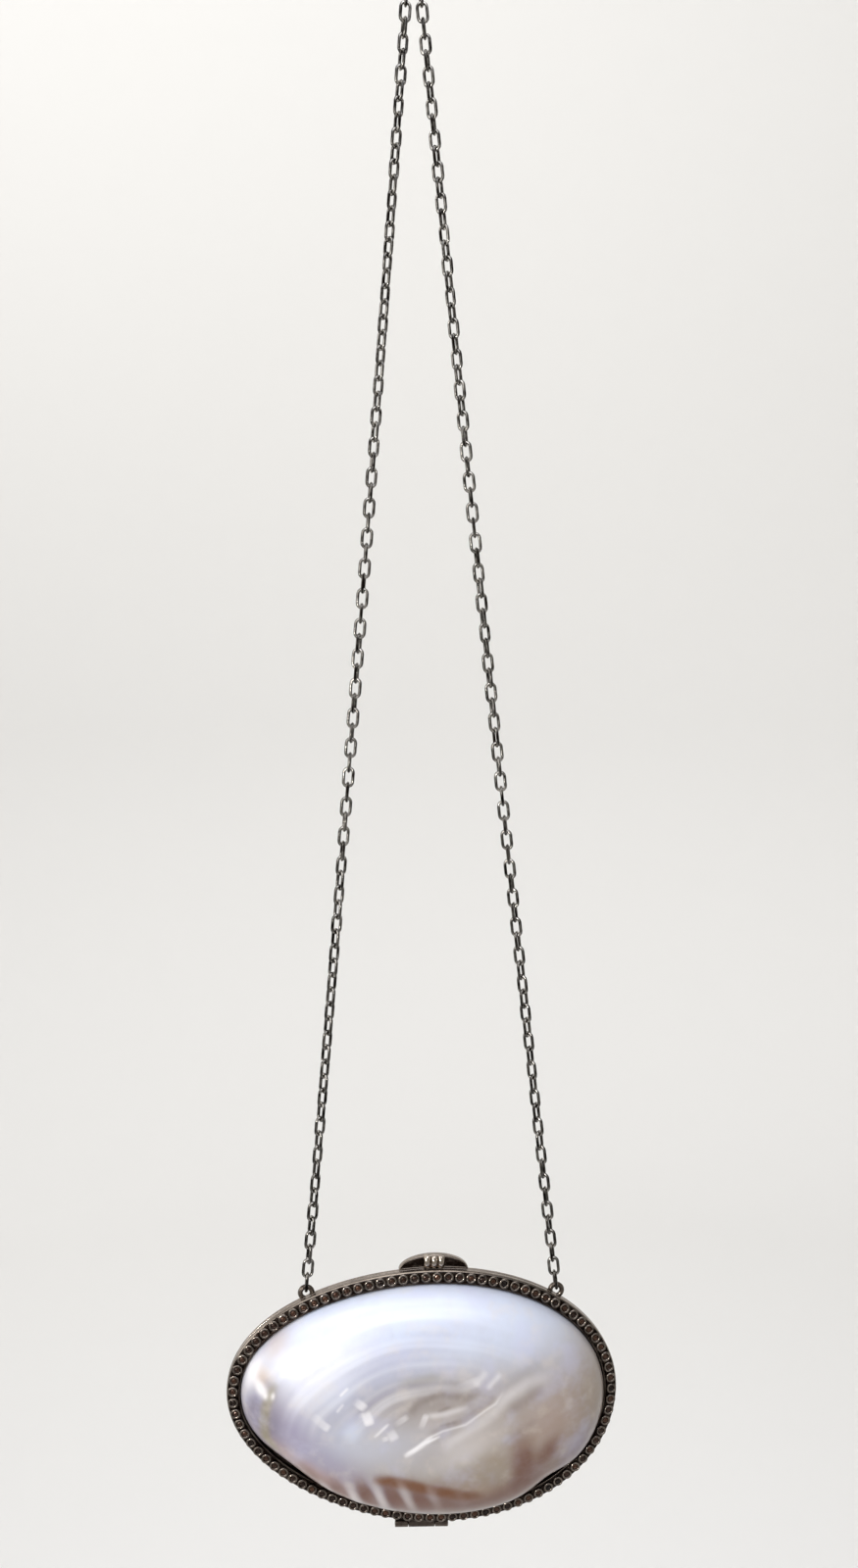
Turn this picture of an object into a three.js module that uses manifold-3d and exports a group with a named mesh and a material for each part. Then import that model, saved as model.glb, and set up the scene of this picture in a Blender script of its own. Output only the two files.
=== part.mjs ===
// A shell clutch bag: two polished mussel valves in a hinged metal rim, the front rim set with a row of
// dark stones, closed by a half-moon clasp on top and hung from a cable chain.
// Millimetres, +Z up, +X to the right, the front of the bag faces -Y.
// The origin is the underside of the chain where it hangs.

import * as THREE from 'three';
import { mergeVertices } from 'three/addons/utils/BufferGeometryUtils.js';
import Module from 'manifold-3d';

const wasm = await Module();
wasm.setup();

const radians = THREE.MathUtils.degToRad;
const vec = (x, y, z) => new THREE.Vector3(x, y, z);

// Fits
const GAP = 0.3;
const PARTING = GAP / 2;
const RUNNING = 0.07;
const WELD = 1e-4;
const HALVINGS = 50;

// The rim's oval, measured at the outer edge of the front face
const HALF_WIDTH = 81.5;
const HALF_HEIGHT = 53.8;
const LOBE = 0.0246;
const LOBE_TURN = radians(155.7);
const OVAL_TURN = radians(1.2);

// How the bag hangs: the oval's centre below the hang point, and its lean to the right
const DROP = 567;
const LEAN = radians(3.25);

// The rim
const RIM_STEPS = 56;
const BAND_OUT = 0.5;
const BAND_DEPTH = 2.6;
const CHAMFER = 0.35;
const LIP_IN = 5.0;
const LIP_DEPTH = 3.2;
const LEDGE_IN = 7.5;
const LEDGE_DEPTH = 1.0;
const CHANNEL_FROM = 0.15;
const CHANNEL_TO = 3.95;
const CHANNEL_FLOOR_OUT = 1.6;
const CHANNEL_FLOOR_IN = 2.05;

// The stones
const STONE_COUNT = 88;
const STONE_RADIUS = 1.6;
const TABLE_RADIUS = 0.95;
const STONE_SIDES = 8;
const STONE_HEIGHT = 0.75;
const STRIP_THICK = 0.6;

// The valves
const SHELL_STEPS = 48;
const SHELL_RINGS = 9;
const INNER_RINGS = 6;
const SHELL_WALL = 2.2;
const SHELL_RISE = 23;
const DOME_POWER = 2.6;
const DOME_ROUND = 2.4;
const SHELL_SEAT = LEDGE_DEPTH + GAP;

// The case hinge
const HINGE_LENGTH = 22.4;
const HINGE_RADIUS = 1.6;
const HINGE_PIN_RADIUS = 0.7;

// The clasp
const CLASP_WIDTH = 29;
const CLASP_HEIGHT = 5.5;
const CLASP_FRONT = 0.1;
const CLASP_BACK = 3.0;
const CLASP_AXIS_Y = 3.15;
const CLASP_BORDER = 1.1;
const CLASP_RECESS = 0.6;
const MOON_STEPS = 20;
const FOOT_STEPS = 8;
const THUMB_WIDTH = 9;
const THUMB_HEIGHT = 4.9;
const THUMB_FRONT = -1.0;
const THUMB_RIBS = 3;
const RIB_RADIUS = 1.4;
const CLASP_BARREL_RADIUS = 1.0;
const CLASP_BARREL_LENGTH = 19.2;
const CLASP_PIN_RADIUS = 0.45;

// The lugs and the chain
const LUG_X = 52.4;
const LUG_Y = 1.25;
const LUG_RADIUS = 2.8;
const LUG_WIRE = 0.95;
const LUG_RISE = 1.2;
const LUG_SINK = 3.6;
const LUG_STEPS = 8;
const CHAIN_RADIUS = 2.6;
const CHAIN_ARCH = 4.0;
const CHAIN_SAG = 1.1;
const STRAND_STEPS = 36;
const ARCH_STEPS = 4;
const ROUND_SIDES = 12;
const WIRE_SIDES = 8;

// Closed meshes and solids

function closedGeometry(positions, triangles) {
  let volume = 0;
  const corner = (index) => vec(...positions.slice(3 * index, 3 * index + 3));
  for (let i = 0; i < triangles.length; i += 3) {
    const [a, b, c] = [corner(triangles[i]), corner(triangles[i + 1]), corner(triangles[i + 2])];
    volume += a.dot(b.cross(c));
  }
  const outward = volume > 0 ? triangles : triangles.slice().reverse();
  const geometry = new THREE.BufferGeometry();
  geometry.setAttribute('position', new THREE.Float32BufferAttribute(positions, 3));
  geometry.setIndex(outward);
  return mergeVertices(geometry, WELD);
}

function meshOf(triangles) {
  const positions = triangles.flat().flatMap((point) => point.toArray());
  return closedGeometry(positions, positions.slice(0, 3 * triangles.length).map((_, index) => index));
}

// Triangles between two rings of points. A ring may be one point, and a point may be repeated in a ring.
function stitch(from, to) {
  const sides = Math.max(from.length, to.length);
  const at = (ring, k) => ring[k % ring.length];
  const triangles = [];
  for (let k = 0; k < sides; k += 1) {
    triangles.push([at(from, k), at(from, k + 1), at(to, k)]);
    triangles.push([at(from, k + 1), at(to, k + 1), at(to, k)]);
  }
  return triangles.filter(([a, b, c]) => a !== b && b !== c && c !== a);
}

// Joins rings of points into a closed skin, from one end to the other or looped back to the first
function skin(rings, looped = false) {
  const triangles = rings.slice(1).flatMap((ring, k) => stitch(rings[k], ring));
  const closing = looped ? stitch(rings[rings.length - 1], rings[0]) : [];
  return meshOf([...triangles, ...closing]);
}

function solid(geometry) {
  const bare = geometry.clone();
  bare.deleteAttribute('normal');
  bare.deleteAttribute('uv');
  const joined = mergeVertices(bare, WELD);
  const vertProperties = new Float32Array(joined.attributes.position.array);
  const triVerts = new Uint32Array(joined.index.array);
  return new wasm.Manifold(new wasm.Mesh({ numProp: 3, vertProperties, triVerts }));
}

function geometryOf(body) {
  const mesh = body.getMesh();
  return closedGeometry(Array.from(mesh.vertProperties), Array.from(mesh.triVerts));
}

function block(low, high) {
  const size = high.clone().sub(low);
  const geometry = new THREE.BoxGeometry(size.x, size.y, size.z);
  const middle = low.clone().add(high).multiplyScalar(0.5);
  return solid(geometry.translate(middle.x, middle.y, middle.z));
}

// A round bar along X
function bar(fromX, toX, y, z, radius, sides = ROUND_SIDES) {
  const geometry = new THREE.CylinderGeometry(radius, radius, toX - fromX, sides);
  geometry.rotateZ(Math.PI / 2);
  return solid(geometry.translate((fromX + toX) / 2, y, z));
}

// A flat outline in X and Z, given thickness along Y
function plate(outline, fromY, toY) {
  const shape = new THREE.Shape(outline);
  const geometry = new THREE.ExtrudeGeometry(shape, { depth: toY - fromY, bevelEnabled: false });
  geometry.rotateX(Math.PI / 2);
  return solid(geometry.translate(0, toY, 0));
}

// A round wire through points of the X-Z plane or one beside it, square to the given runs at its ends
function wire(points, startRun, endRun, radius) {
  const runs = points.map((point, k) => {
    if (k === 0) return startRun;
    if (k === points.length - 1) return endRun;
    return points[k + 1].clone().sub(points[k - 1]);
  });
  const rings = points.map((point, k) => {
    const across = vec(runs[k].z, 0, -runs[k].x).normalize();
    return Array.from({ length: WIRE_SIDES }, (_, side) => {
      const turn = 2 * Math.PI * (side + 0.5) / WIRE_SIDES;
      const spot = point.clone().addScaledVector(across, radius * Math.cos(turn));
      return spot.setY(point.y + radius * Math.sin(turn));
    });
  });
  return skin([[points[0]], ...rings, [points[points.length - 1]]]);
}

// The oval: an ellipse that is blunter at the right end and more drawn out at the left

function ovalPoint(angle) {
  const lobe = 1 + LOBE * Math.cos(3 * angle - LOBE_TURN);
  const along = HALF_WIDTH * lobe * Math.cos(angle);
  const across = HALF_HEIGHT * lobe * Math.sin(angle);
  const x = along * Math.cos(OVAL_TURN) + across * Math.sin(OVAL_TURN);
  const z = across * Math.cos(OVAL_TURN) - along * Math.sin(OVAL_TURN);
  return vec(x, 0, z);
}

function ovalNormal(angle) {
  const step = 1e-4;
  const run = ovalPoint(angle + step).sub(ovalPoint(angle - step));
  return vec(run.z, 0, -run.x).normalize();
}

function ovalOffset(angle, out, y = 0) {
  const point = ovalPoint(angle).addScaledVector(ovalNormal(angle), out);
  return point.setY(y);
}

// Angles that space points evenly along the oval moved out by an offset
function evenAngles(count, out) {
  const fine = 20 * count;
  const lengths = [0];
  for (let i = 1; i <= fine; i += 1) {
    const from = ovalOffset(2 * Math.PI * (i - 1) / fine, out);
    const to = ovalOffset(2 * Math.PI * i / fine, out);
    lengths.push(lengths[i - 1] + from.distanceTo(to));
  }
  const angles = [];
  let i = 0;
  for (let k = 0; k < count; k += 1) {
    const target = lengths[fine] * k / count;
    while (lengths[i + 1] < target) i += 1;
    const part = (target - lengths[i]) / (lengths[i + 1] - lengths[i]);
    angles.push(2 * Math.PI * (i + part) / fine);
  }
  return angles;
}

// The turn around the oval at a place across it, on its upper or lower side
function ovalTurn(x, side) {
  let low = side > 0 ? 0 : -Math.PI;
  let high = low + Math.PI;
  for (let i = 0; i < HALVINGS; i += 1) {
    const middle = (low + high) / 2;
    const goLow = (ovalPoint(middle).x > x) === (side > 0);
    if (goLow) low = middle;
    else high = middle;
  }
  return (low + high) / 2;
}

// A section of [out, y] points carried around the oval
function rimSweep(section, angles = evenAngles(RIM_STEPS, 0)) {
  return skin(angles.map((angle) => section.map(([out, y]) => ovalOffset(angle, out, y))), true);
}

// The rims

const topAngle = ovalTurn(0, 1);
const bottomAngle = ovalTurn(0, -1);
const bandTop = ovalPoint(topAngle).z + BAND_OUT;
const bandBottom = ovalPoint(bottomAngle).z - BAND_OUT;

// The band, lip and ledge that both rims have, as [out, depth from the parting plane]
const bandSide = [
  [BAND_OUT - CHAMFER, PARTING],
  [BAND_OUT, PARTING + CHAMFER],
  [BAND_OUT, BAND_DEPTH - 2 * CHAMFER],
  [0, BAND_DEPTH],
];
const lipSide = [
  [CHAMFER - LIP_IN, LIP_DEPTH],
  [-LIP_IN, LIP_DEPTH - CHAMFER],
  [-LIP_IN, LEDGE_DEPTH],
  [-LEDGE_IN, LEDGE_DEPTH],
  [-LEDGE_IN, PARTING],
];
const stoneChannel = [
  [-CHANNEL_FROM, BAND_DEPTH],
  [-CHANNEL_FROM, CHANNEL_FLOOR_OUT],
  [-CHANNEL_TO, CHANNEL_FLOOR_IN],
  [-CHANNEL_TO, LIP_DEPTH],
];
const toFront = ([out, depth]) => [out, -depth];

const hingeZ = bandBottom - GAP - HINGE_RADIUS;
const hingeSplit = HINGE_LENGTH / 4;

// One knuckle of the case hinge with the leaf that joins it to its band
function hingeKnuckle(fromX, toX, side) {
  const barrel = bar(fromX, toX, 0, hingeZ, HINGE_RADIUS);
  const near = side * PARTING;
  const far = side * HINGE_RADIUS;
  const low = vec(fromX, Math.min(near, far), hingeZ);
  const high = vec(toX, Math.max(near, far), bandBottom + 2 * BAND_OUT);
  return barrel.add(block(low, high));
}

function hingeBore() {
  const reach = HINGE_LENGTH / 2 + GAP;
  return bar(-reach, reach, 0, hingeZ, HINGE_PIN_RADIUS + RUNNING);
}

function frontRim() {
  const section = [...bandSide, ...stoneChannel, ...lipSide].map(toFront);
  const knuckle = hingeKnuckle(GAP / 2 - hingeSplit, hingeSplit - GAP / 2, -1);
  return geometryOf(solid(rimSweep(section)).add(knuckle).subtract(hingeBore()));
}

// A half-ring lug standing upright on the top of the back band
function lugArch(side) {
  const up = vec(0, 0, 1);
  const foot = ovalOffset(ovalTurn(side * LUG_X, 1), BAND_OUT, LUG_Y);
  const points = [];
  for (let k = 0; k <= LUG_STEPS; k += 1) {
    const turn = Math.PI * k / LUG_STEPS;
    const rise = LUG_RISE + LUG_RADIUS * Math.sin(turn);
    points.push(foot.clone().add(vec(-LUG_RADIUS * Math.cos(turn), 0, rise)));
  }
  const sink = (point) => point.clone().addScaledVector(up, -LUG_SINK);
  const path = [sink(points[0]), ...points, sink(points[points.length - 1])];
  const eye = foot.clone().addScaledVector(up, LUG_RISE);
  return { body: solid(wire(path, up, up.clone().negate(), LUG_WIRE)), eye };
}

const claspAxisZ = bandTop + GAP + CHAMFER + CLASP_BARREL_RADIUS;
const claspSplit = CLASP_BARREL_LENGTH / 4;

// One outer knuckle of the clasp's hinge with the ear that joins it to the back band.
// Play is the room left around it.
function claspKnuckle(side, play = 0) {
  const ends = [side * (claspSplit + GAP / 2 - play), side * (CLASP_BARREL_LENGTH / 2 + play)];
  const [fromX, toX] = [Math.min(...ends), Math.max(...ends)];
  const barrel = bar(fromX, toX, CLASP_AXIS_Y, claspAxisZ, CLASP_BARREL_RADIUS + play);
  const ear = block(
    vec(fromX, CLASP_AXIS_Y - CLASP_BARREL_RADIUS - play, bandTop - 2 * BAND_OUT),
    vec(toX, CLASP_AXIS_Y - CHAMFER / 2 + play, claspAxisZ - CHAMFER),
  );
  return barrel.add(ear);
}

function claspBore() {
  const reach = CLASP_BARREL_LENGTH / 2 + GAP;
  return bar(-reach, reach, CLASP_AXIS_Y, claspAxisZ, CLASP_PIN_RADIUS + RUNNING);
}

function backRim() {
  let body = solid(rimSweep([...bandSide, ...lipSide]));
  for (const side of [-1, 1]) {
    const hingeEnds = [side * (hingeSplit + GAP / 2), side * HINGE_LENGTH / 2];
    body = body.add(hingeKnuckle(Math.min(...hingeEnds), Math.max(...hingeEnds), 1));
    body = body.add(claspKnuckle(side));
    body = body.add(lugArch(side).body);
  }
  return geometryOf(body.subtract(hingeBore()).subtract(claspBore()));
}

function hingePin() {
  const reach = HINGE_LENGTH / 2 - GAP;
  return geometryOf(bar(-reach, reach, 0, hingeZ, HINGE_PIN_RADIUS));
}

function claspPin() {
  const reach = CLASP_BARREL_LENGTH / 2 - GAP;
  return geometryOf(bar(-reach, reach, CLASP_AXIS_Y, claspAxisZ, CLASP_PIN_RADIUS));
}

// The stone row: a strip in the channel with faceted stones fused to it, as one body

const channelSlope = (CHANNEL_FLOOR_IN - CHANNEL_FLOOR_OUT) / (CHANNEL_TO - CHANNEL_FROM);
const channelMiddle = (CHANNEL_FROM + CHANNEL_TO) / 2;
const channelDepth = (inward) => CHANNEL_FLOOR_OUT + channelSlope * (inward - CHANNEL_FROM);

// The strip's section at one turn of the oval: two points at the outer side, then two at the inner side
function stripSection(angle) {
  const outer = CHANNEL_FROM + GAP;
  const inner = CHANNEL_TO - GAP;
  const depths = [0, STRIP_THICK, STRIP_THICK, 0];
  return [outer, outer, inner, inner].map((inward, k) => {
    const depth = channelDepth(inward) + GAP + depths[k];
    return ovalOffset(angle, -inward, -depth);
  });
}

// The rings of one stone, its girdle in the strip's face and its table above, facing out of the channel
function stoneRings(angle) {
  const depth = channelDepth(channelMiddle) + GAP + STRIP_THICK;
  const seat = ovalOffset(angle, -channelMiddle, -depth);
  const out = ovalNormal(angle);
  const across = out.clone().setY(channelSlope).normalize();
  const forward = vec(-out.z, 0, out.x);
  const facing = vec(channelSlope * out.x, -1, channelSlope * out.z).normalize();
  const ringAt = (radius, height) => Array.from({ length: STONE_SIDES }, (_, k) => {
    const turn = -2 * Math.PI * (k + 0.5) / STONE_SIDES;
    return seat.clone()
      .addScaledVector(across, radius * Math.cos(turn))
      .addScaledVector(forward, radius * Math.sin(turn))
      .addScaledVector(facing, height);
  });
  return [ringAt(STONE_RADIUS, 0), ringAt(TABLE_RADIUS, STONE_HEIGHT)];
}

// Each length of the strip between two bends carries one stone in the middle of its face
function stoneRow() {
  const angles = evenAngles(2 * STONE_COUNT, -channelMiddle);
  const sections = angles.filter((_, k) => k % 2 === 1).map(stripSection);
  const triangles = [];
  for (let k = 0; k < STONE_COUNT; k += 1) {
    const from = sections[k];
    const to = sections[(k + 1) % STONE_COUNT];
    const floor = stitch([from[2], from[3], from[0], from[1]], [to[2], to[3], to[0], to[1]]).slice(0, 6);
    const corners = [from[1], from[2], to[2], to[1]];
    const face = corners.flatMap((corner) => Array(STONE_SIDES / corners.length).fill(corner));
    const [girdle, table] = stoneRings(angles[(2 * k + 2) % angles.length]);
    triangles.push(...floor, ...stitch(face, girdle), ...stitch(girdle, table), ...stitch(table, [table[0]]));
  }
  return meshOf(triangles);
}

// The valves: hollow domes that rest on the rims' ledges

// Where the front valve's edge falls short of the rim, by turn around the oval
const edgeNotches = [
  { turn: 221, spread: 13, depth: 2.2 },
  { turn: 314, spread: 9, depth: 3.0 },
];

function notchDepth(angle) {
  let depth = 0;
  for (const notch of edgeNotches) {
    const away = Math.atan2(Math.sin(angle - radians(notch.turn)), Math.cos(angle - radians(notch.turn)));
    depth += notch.depth * Math.exp(-((away / radians(notch.spread)) ** 2));
  }
  return depth;
}

// A point of a dome: share 0 is its middle and share 1 its edge, side -1 is the front valve and 1 the back
function domePoint(share, angle, inset, rise, side) {
  const edge = ovalOffset(angle, -LIP_IN - GAP - inset - (side < 0 ? notchDepth(angle) : 0));
  const height = rise * (1 - share ** DOME_POWER) ** (1 / DOME_ROUND);
  return edge.multiplyScalar(share).setY(side * (SHELL_SEAT + height));
}

function domeRings(count, inset, rise, side) {
  const rings = [[domePoint(0, 0, inset, rise, side)]];
  for (let k = 1; k <= count; k += 1) {
    const share = Math.sin(Math.PI / 2 * k / count);
    const ring = [];
    for (let i = 0; i < SHELL_STEPS; i += 1) {
      ring.push(domePoint(share, 2 * Math.PI * i / SHELL_STEPS, inset, rise, side));
    }
    rings.push(ring);
  }
  return rings;
}

function valve(side) {
  const outside = domeRings(SHELL_RINGS, 0, SHELL_RISE, side);
  const inside = domeRings(INNER_RINGS, SHELL_WALL, SHELL_RISE - SHELL_WALL, side);
  return skin([...outside, ...inside.reverse()]);
}

// The clasp: a half-moon plate with a ribbed thumb block, hinged behind

// The half-moon's outline inside a border, its foot along the curve of the band
function halfMoon(border) {
  const reach = CLASP_WIDTH / 2 - border;
  const lift = border / 2;
  const height = CLASP_HEIGHT - border - lift;
  const foot = (x) => ovalPoint(ovalTurn(x, 1)).z + BAND_OUT + GAP + lift;
  const outline = [];
  for (let k = 0; k <= MOON_STEPS; k += 1) {
    const turn = Math.PI * k / MOON_STEPS;
    const x = reach * Math.cos(turn);
    outline.push(new THREE.Vector2(x, foot(x) + height * Math.sin(turn)));
  }
  for (let k = 1; k < FOOT_STEPS; k += 1) {
    const x = reach * (2 * k / FOOT_STEPS - 1);
    outline.push(new THREE.Vector2(x, foot(x)));
  }
  return outline;
}

function thumbBlock() {
  const pitch = THUMB_WIDTH / THUMB_RIBS;
  const low = bandTop + GAP + CHAMFER;
  let body = block(
    vec(-THUMB_WIDTH / 2, THUMB_FRONT, low),
    vec(THUMB_WIDTH / 2, CLASP_FRONT + 2 * CLASP_RECESS, low + THUMB_HEIGHT),
  );
  for (let k = 0; k < THUMB_RIBS; k += 1) {
    const rib = new THREE.CylinderGeometry(RIB_RADIUS, RIB_RADIUS, THUMB_HEIGHT - CHAMFER, ROUND_SIDES);
    rib.rotateX(Math.PI / 2);
    rib.translate((k + 0.5 - THUMB_RIBS / 2) * pitch, THUMB_FRONT + CHAMFER / 2, low + THUMB_HEIGHT / 2);
    body = body.add(solid(rib));
  }
  return body;
}

function claspLever() {
  let body = plate(halfMoon(0), CLASP_FRONT, CLASP_BACK);
  body = body.subtract(plate(halfMoon(CLASP_BORDER), CLASP_FRONT - GAP, CLASP_FRONT + CLASP_RECESS));
  body = body.add(thumbBlock());
  const reach = claspSplit - GAP / 2;
  body = body.add(bar(-reach, reach, CLASP_AXIS_Y, claspAxisZ, CLASP_BARREL_RADIUS));
  for (const side of [-1, 1]) {
    body = body.subtract(claspKnuckle(side, GAP + RUNNING));
  }
  return geometryOf(body.subtract(claspBore()));
}

// The chain: two strands that run from the lugs and meet over the hang point

const hang = new THREE.Matrix4().makeRotationY(LEAN).setPosition(0, 0, -DROP);

// One strand, from its lug up to the top of the arch over the hang point
function strand(side) {
  const arch = CHAIN_RADIUS - CHAIN_ARCH;
  const lug = lugArch(side).eye.applyMatrix4(hang);
  const shoulder = vec(side * CHAIN_ARCH, 0, arch);
  const run = shoulder.clone().sub(lug);
  const inward = vec(run.z, 0, -run.x).normalize().multiplyScalar(-side);
  const start = lug.clone().addScaledVector(run.clone().normalize(), LUG_RADIUS + LUG_WIRE + GAP);
  const points = [];
  for (let k = 0; k < STRAND_STEPS; k += 1) {
    const share = k / STRAND_STEPS;
    const bow = CHAIN_SAG * 4 * share * (1 - share);
    points.push(start.clone().lerp(shoulder, share).addScaledVector(inward, bow));
  }
  for (let k = 0; k <= ARCH_STEPS; k += 1) {
    const turn = Math.PI / 2 * k / ARCH_STEPS;
    const x = side * (PARTING + (CHAIN_ARCH - PARTING) * Math.cos(turn));
    points.push(vec(x, 0, arch + CHAIN_ARCH * Math.sin(turn)));
  }
  return wire(points, run, vec(-side, 0, 0), CHAIN_RADIUS);
}

// The assembly

const bag = new THREE.Group();
bag.name = 'shell_clutch_bag';

function addPiece(name, geometry, colour, metalness, roughness) {
  const bare = geometry.clone();
  bare.deleteAttribute('normal');
  bare.deleteAttribute('uv');
  const joined = mergeVertices(bare, WELD);
  joined.computeVertexNormals();
  const material = new THREE.MeshStandardMaterial({ color: colour, metalness, roughness });
  const mesh = new THREE.Mesh(joined, material);
  mesh.name = name;
  bag.add(mesh);
}

const hung = (geometry) => geometry.applyMatrix4(hang);
const NACRE = [0xe6e1e2, 0.0, 0.25];
const GUNMETAL = [0x4a413b, 0.9, 0.4];
const CRYSTAL = [0x2e2724, 0.2, 0.15];

addPiece('front_shell', hung(valve(-1)), ...NACRE);
addPiece('back_shell', hung(valve(1)), ...NACRE);
addPiece('front_rim', hung(frontRim()), ...GUNMETAL);
addPiece('back_rim', hung(backRim()), ...GUNMETAL);
addPiece('front_stone_row', hung(stoneRow()), ...CRYSTAL);
addPiece('hinge_pin', hung(hingePin()), ...GUNMETAL);
addPiece('clasp_lever', hung(claspLever()), ...GUNMETAL);
addPiece('clasp_pin', hung(claspPin()), ...GUNMETAL);
addPiece('chain_left', strand(-1), ...GUNMETAL);
addPiece('chain_right', strand(1), ...GUNMETAL);

export default bag;
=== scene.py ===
# A shell clutch bag hanging by its chain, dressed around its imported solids.
# The bag is worked out in millimetres in its own frame, with the middle of the rim's oval at the origin,
# and is then hung below the origin of the part.

from collections import namedtuple

import bpy
import numpy as np
from mathutils import Matrix


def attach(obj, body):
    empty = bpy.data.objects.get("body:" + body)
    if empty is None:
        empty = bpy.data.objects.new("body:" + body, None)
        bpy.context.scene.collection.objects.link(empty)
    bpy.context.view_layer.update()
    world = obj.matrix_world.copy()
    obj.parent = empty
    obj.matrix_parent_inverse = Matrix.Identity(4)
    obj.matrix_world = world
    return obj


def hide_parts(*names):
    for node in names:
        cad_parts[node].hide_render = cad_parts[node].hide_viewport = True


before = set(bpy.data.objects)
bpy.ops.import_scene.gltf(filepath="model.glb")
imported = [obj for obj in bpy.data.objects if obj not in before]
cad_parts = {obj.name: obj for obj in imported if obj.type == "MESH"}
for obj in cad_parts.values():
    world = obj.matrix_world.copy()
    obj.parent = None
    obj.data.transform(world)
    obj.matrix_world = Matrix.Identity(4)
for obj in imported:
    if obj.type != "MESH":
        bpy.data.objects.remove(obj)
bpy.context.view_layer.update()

MM = 0.001
TURN = 2 * np.pi
FINE_RUN = 4001
FINE_SHARE = 40

# The rim's oval and how the bag hangs, as in the part's source
HALF_WIDTH = 81.5
HALF_HEIGHT = 53.8
LOBE = 0.0246
LOBE_TURN = np.radians(155.7)
OVAL_TURN = np.radians(1.2)
DROP = 567.0
LEAN = np.radians(3.25)
GAP = 0.3
PARTING = GAP / 2

# Rims and hinge
BAND_OUT = 0.5
BAND_DEPTH = 2.6
BAND_BEVEL = 0.7
LIP_IN = 5.0
LIP_DEPTH = 3.2
LIP_BEVEL = 0.2
LEDGE_IN = 7.5
LEDGE_DEPTH = 1.0
CHANNEL_FROM = 0.15
CHANNEL_TO = 3.95
CHANNEL_FLOOR_OUT = 1.6
CHANNEL_FLOOR_IN = 2.05
RIM_EASE = 0.3
RIM_STEPS = 288
HINGE_LENGTH = 22.4
HINGE_RADIUS = 1.6
HINGE_BORE = 0.77
LEAF_SINK = 1.0
KNUCKLE_STEPS = 28
KNUCKLE_EASE = 0.15
KNUCKLE_END = 0.92

# Stones and their settings
STONE_COUNT = 88
STONE_SIDES = 8
STONE_RADIUS = 1.30
STONE_RISE = 0.4
STONE_SEED = 3
COLLET_RADIUS = 1.66
COLLET_WIRE = 0.52
COLLET_RISE = 0.48
COLLET_STEPS = 18
COLLET_SIDES = 7
STRIP_THICK = 0.8
STRIP_EASE = 0.12

# Valves
SHELL_WALL = 2.2
SHELL_RISE = 23.0
DOME_POWER = 2.6
DOME_ROUND = 2.4
SHELL_SEAT = LEDGE_DEPTH + GAP
SHELL_STEPS = 420
SHELL_RINGS = 200
INNER_RINGS = 16

# Clasp
CLASP_WIDTH = 29.0
CLASP_HEIGHT = 5.5
CLASP_FRONT = 0.1
CLASP_BACK = 3.0
CLASP_AXIS_Y = 3.15
CLASP_BARREL_RADIUS = 1.0
CLASP_BARREL_LENGTH = 19.2
CLASP_BORE = 0.52
CLASP_LIFT = 0.35
CLASP_LEAF = 1.6
CLASP_LEAF_EDGE = 0.175
CLASP_PLAY = 0.07
THUMB_WIDTH = 9.0
THUMB_HEIGHT = 4.9
THUMB_FRONT = -1.0
THUMB_BACK = CLASP_FRONT + 1.2
THUMB_RIBS = 3
THUMB_STEPS = 49
THUMB_ROWS = 13
THUMB_NARROW = 0.1
THUMB_SLIM = 0.25
RIB_HEIGHT = 1.35
RIB_SHARE = 0.92

# Lugs and chain
LUG_X = 52.4
LUG_Y = 1.25
LUG_RADIUS = 2.45
LUG_WIRE = 1.05
LUG_RISE = 1.35
LUG_STEPS = 28
LUG_SIDES = 14
LINK_WIDTH = 5.0
LINK_WIRE = 1.35
LINK_BEND_STEPS = 8
LINK_SIDES = 5
LINKS_A_SIDE = 87
CHAIN_TOP_X = 2.61
CHAIN_TOP_Z = 1.54
CHAIN_SAG = 1.1
CHAIN_PLAY = np.radians(8)
CHAIN_TURN = np.radians(20)
CHAIN_TWIST = np.radians(34)
CHAIN_WAVES = 1.5
CHAIN_FREEING = 40
CHAIN_STILL = 0.3
STRANDS = [(-1, "left", 21), (1, "right", 22)]


# Curves and surfaces

def oval_point(angle):
    """x and z of the rim's oval: an ellipse whose radius swells three times a turn, turned a little."""
    lobe = 1 + LOBE * np.cos(3 * angle - LOBE_TURN)
    along = HALF_WIDTH * lobe * np.cos(angle)
    across = HALF_HEIGHT * lobe * np.sin(angle)
    x = along * np.cos(OVAL_TURN) + across * np.sin(OVAL_TURN)
    z = across * np.cos(OVAL_TURN) - along * np.sin(OVAL_TURN)
    return np.stack([x, z], -1)


def oval_normal(angle):
    """The oval's outward unit normal: its run over a small step, turned a quarter."""
    step = 1e-4
    run = oval_point(angle + step) - oval_point(angle - step)
    normal = np.stack([run[..., 1], -run[..., 0]], -1)
    return normal / np.linalg.norm(normal, axis=-1, keepdims=True)


def oval_offset(angle, out):
    """The oval's point moved out along its normal."""
    return oval_point(angle) + oval_normal(angle) * np.asarray(out)[..., None]


def even_angles(count, out):
    """Angles that space points evenly along the oval moved out: the inverse of its running length."""
    fine = np.linspace(0, TURN, FINE_SHARE * count + 1)
    steps = np.linalg.norm(np.diff(oval_offset(fine, out), axis=0), axis=1)
    length = np.concatenate([[0], np.cumsum(steps)])
    return np.interp(length[-1] * np.arange(count) / count, length, fine)


def top_of_oval(x):
    """z of the oval's upper side at each x, read from a fine run of its points."""
    run = oval_point(np.linspace(np.pi, 0, FINE_RUN))
    return np.interp(x, run[:, 0], run[:, 1])


def bottom_of_oval(x):
    """z of the oval's lower side at each x, read from a fine run of its points."""
    run = oval_point(np.linspace(-np.pi, 0, FINE_RUN))
    return np.interp(x, run[:, 0], run[:, 1])


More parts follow.
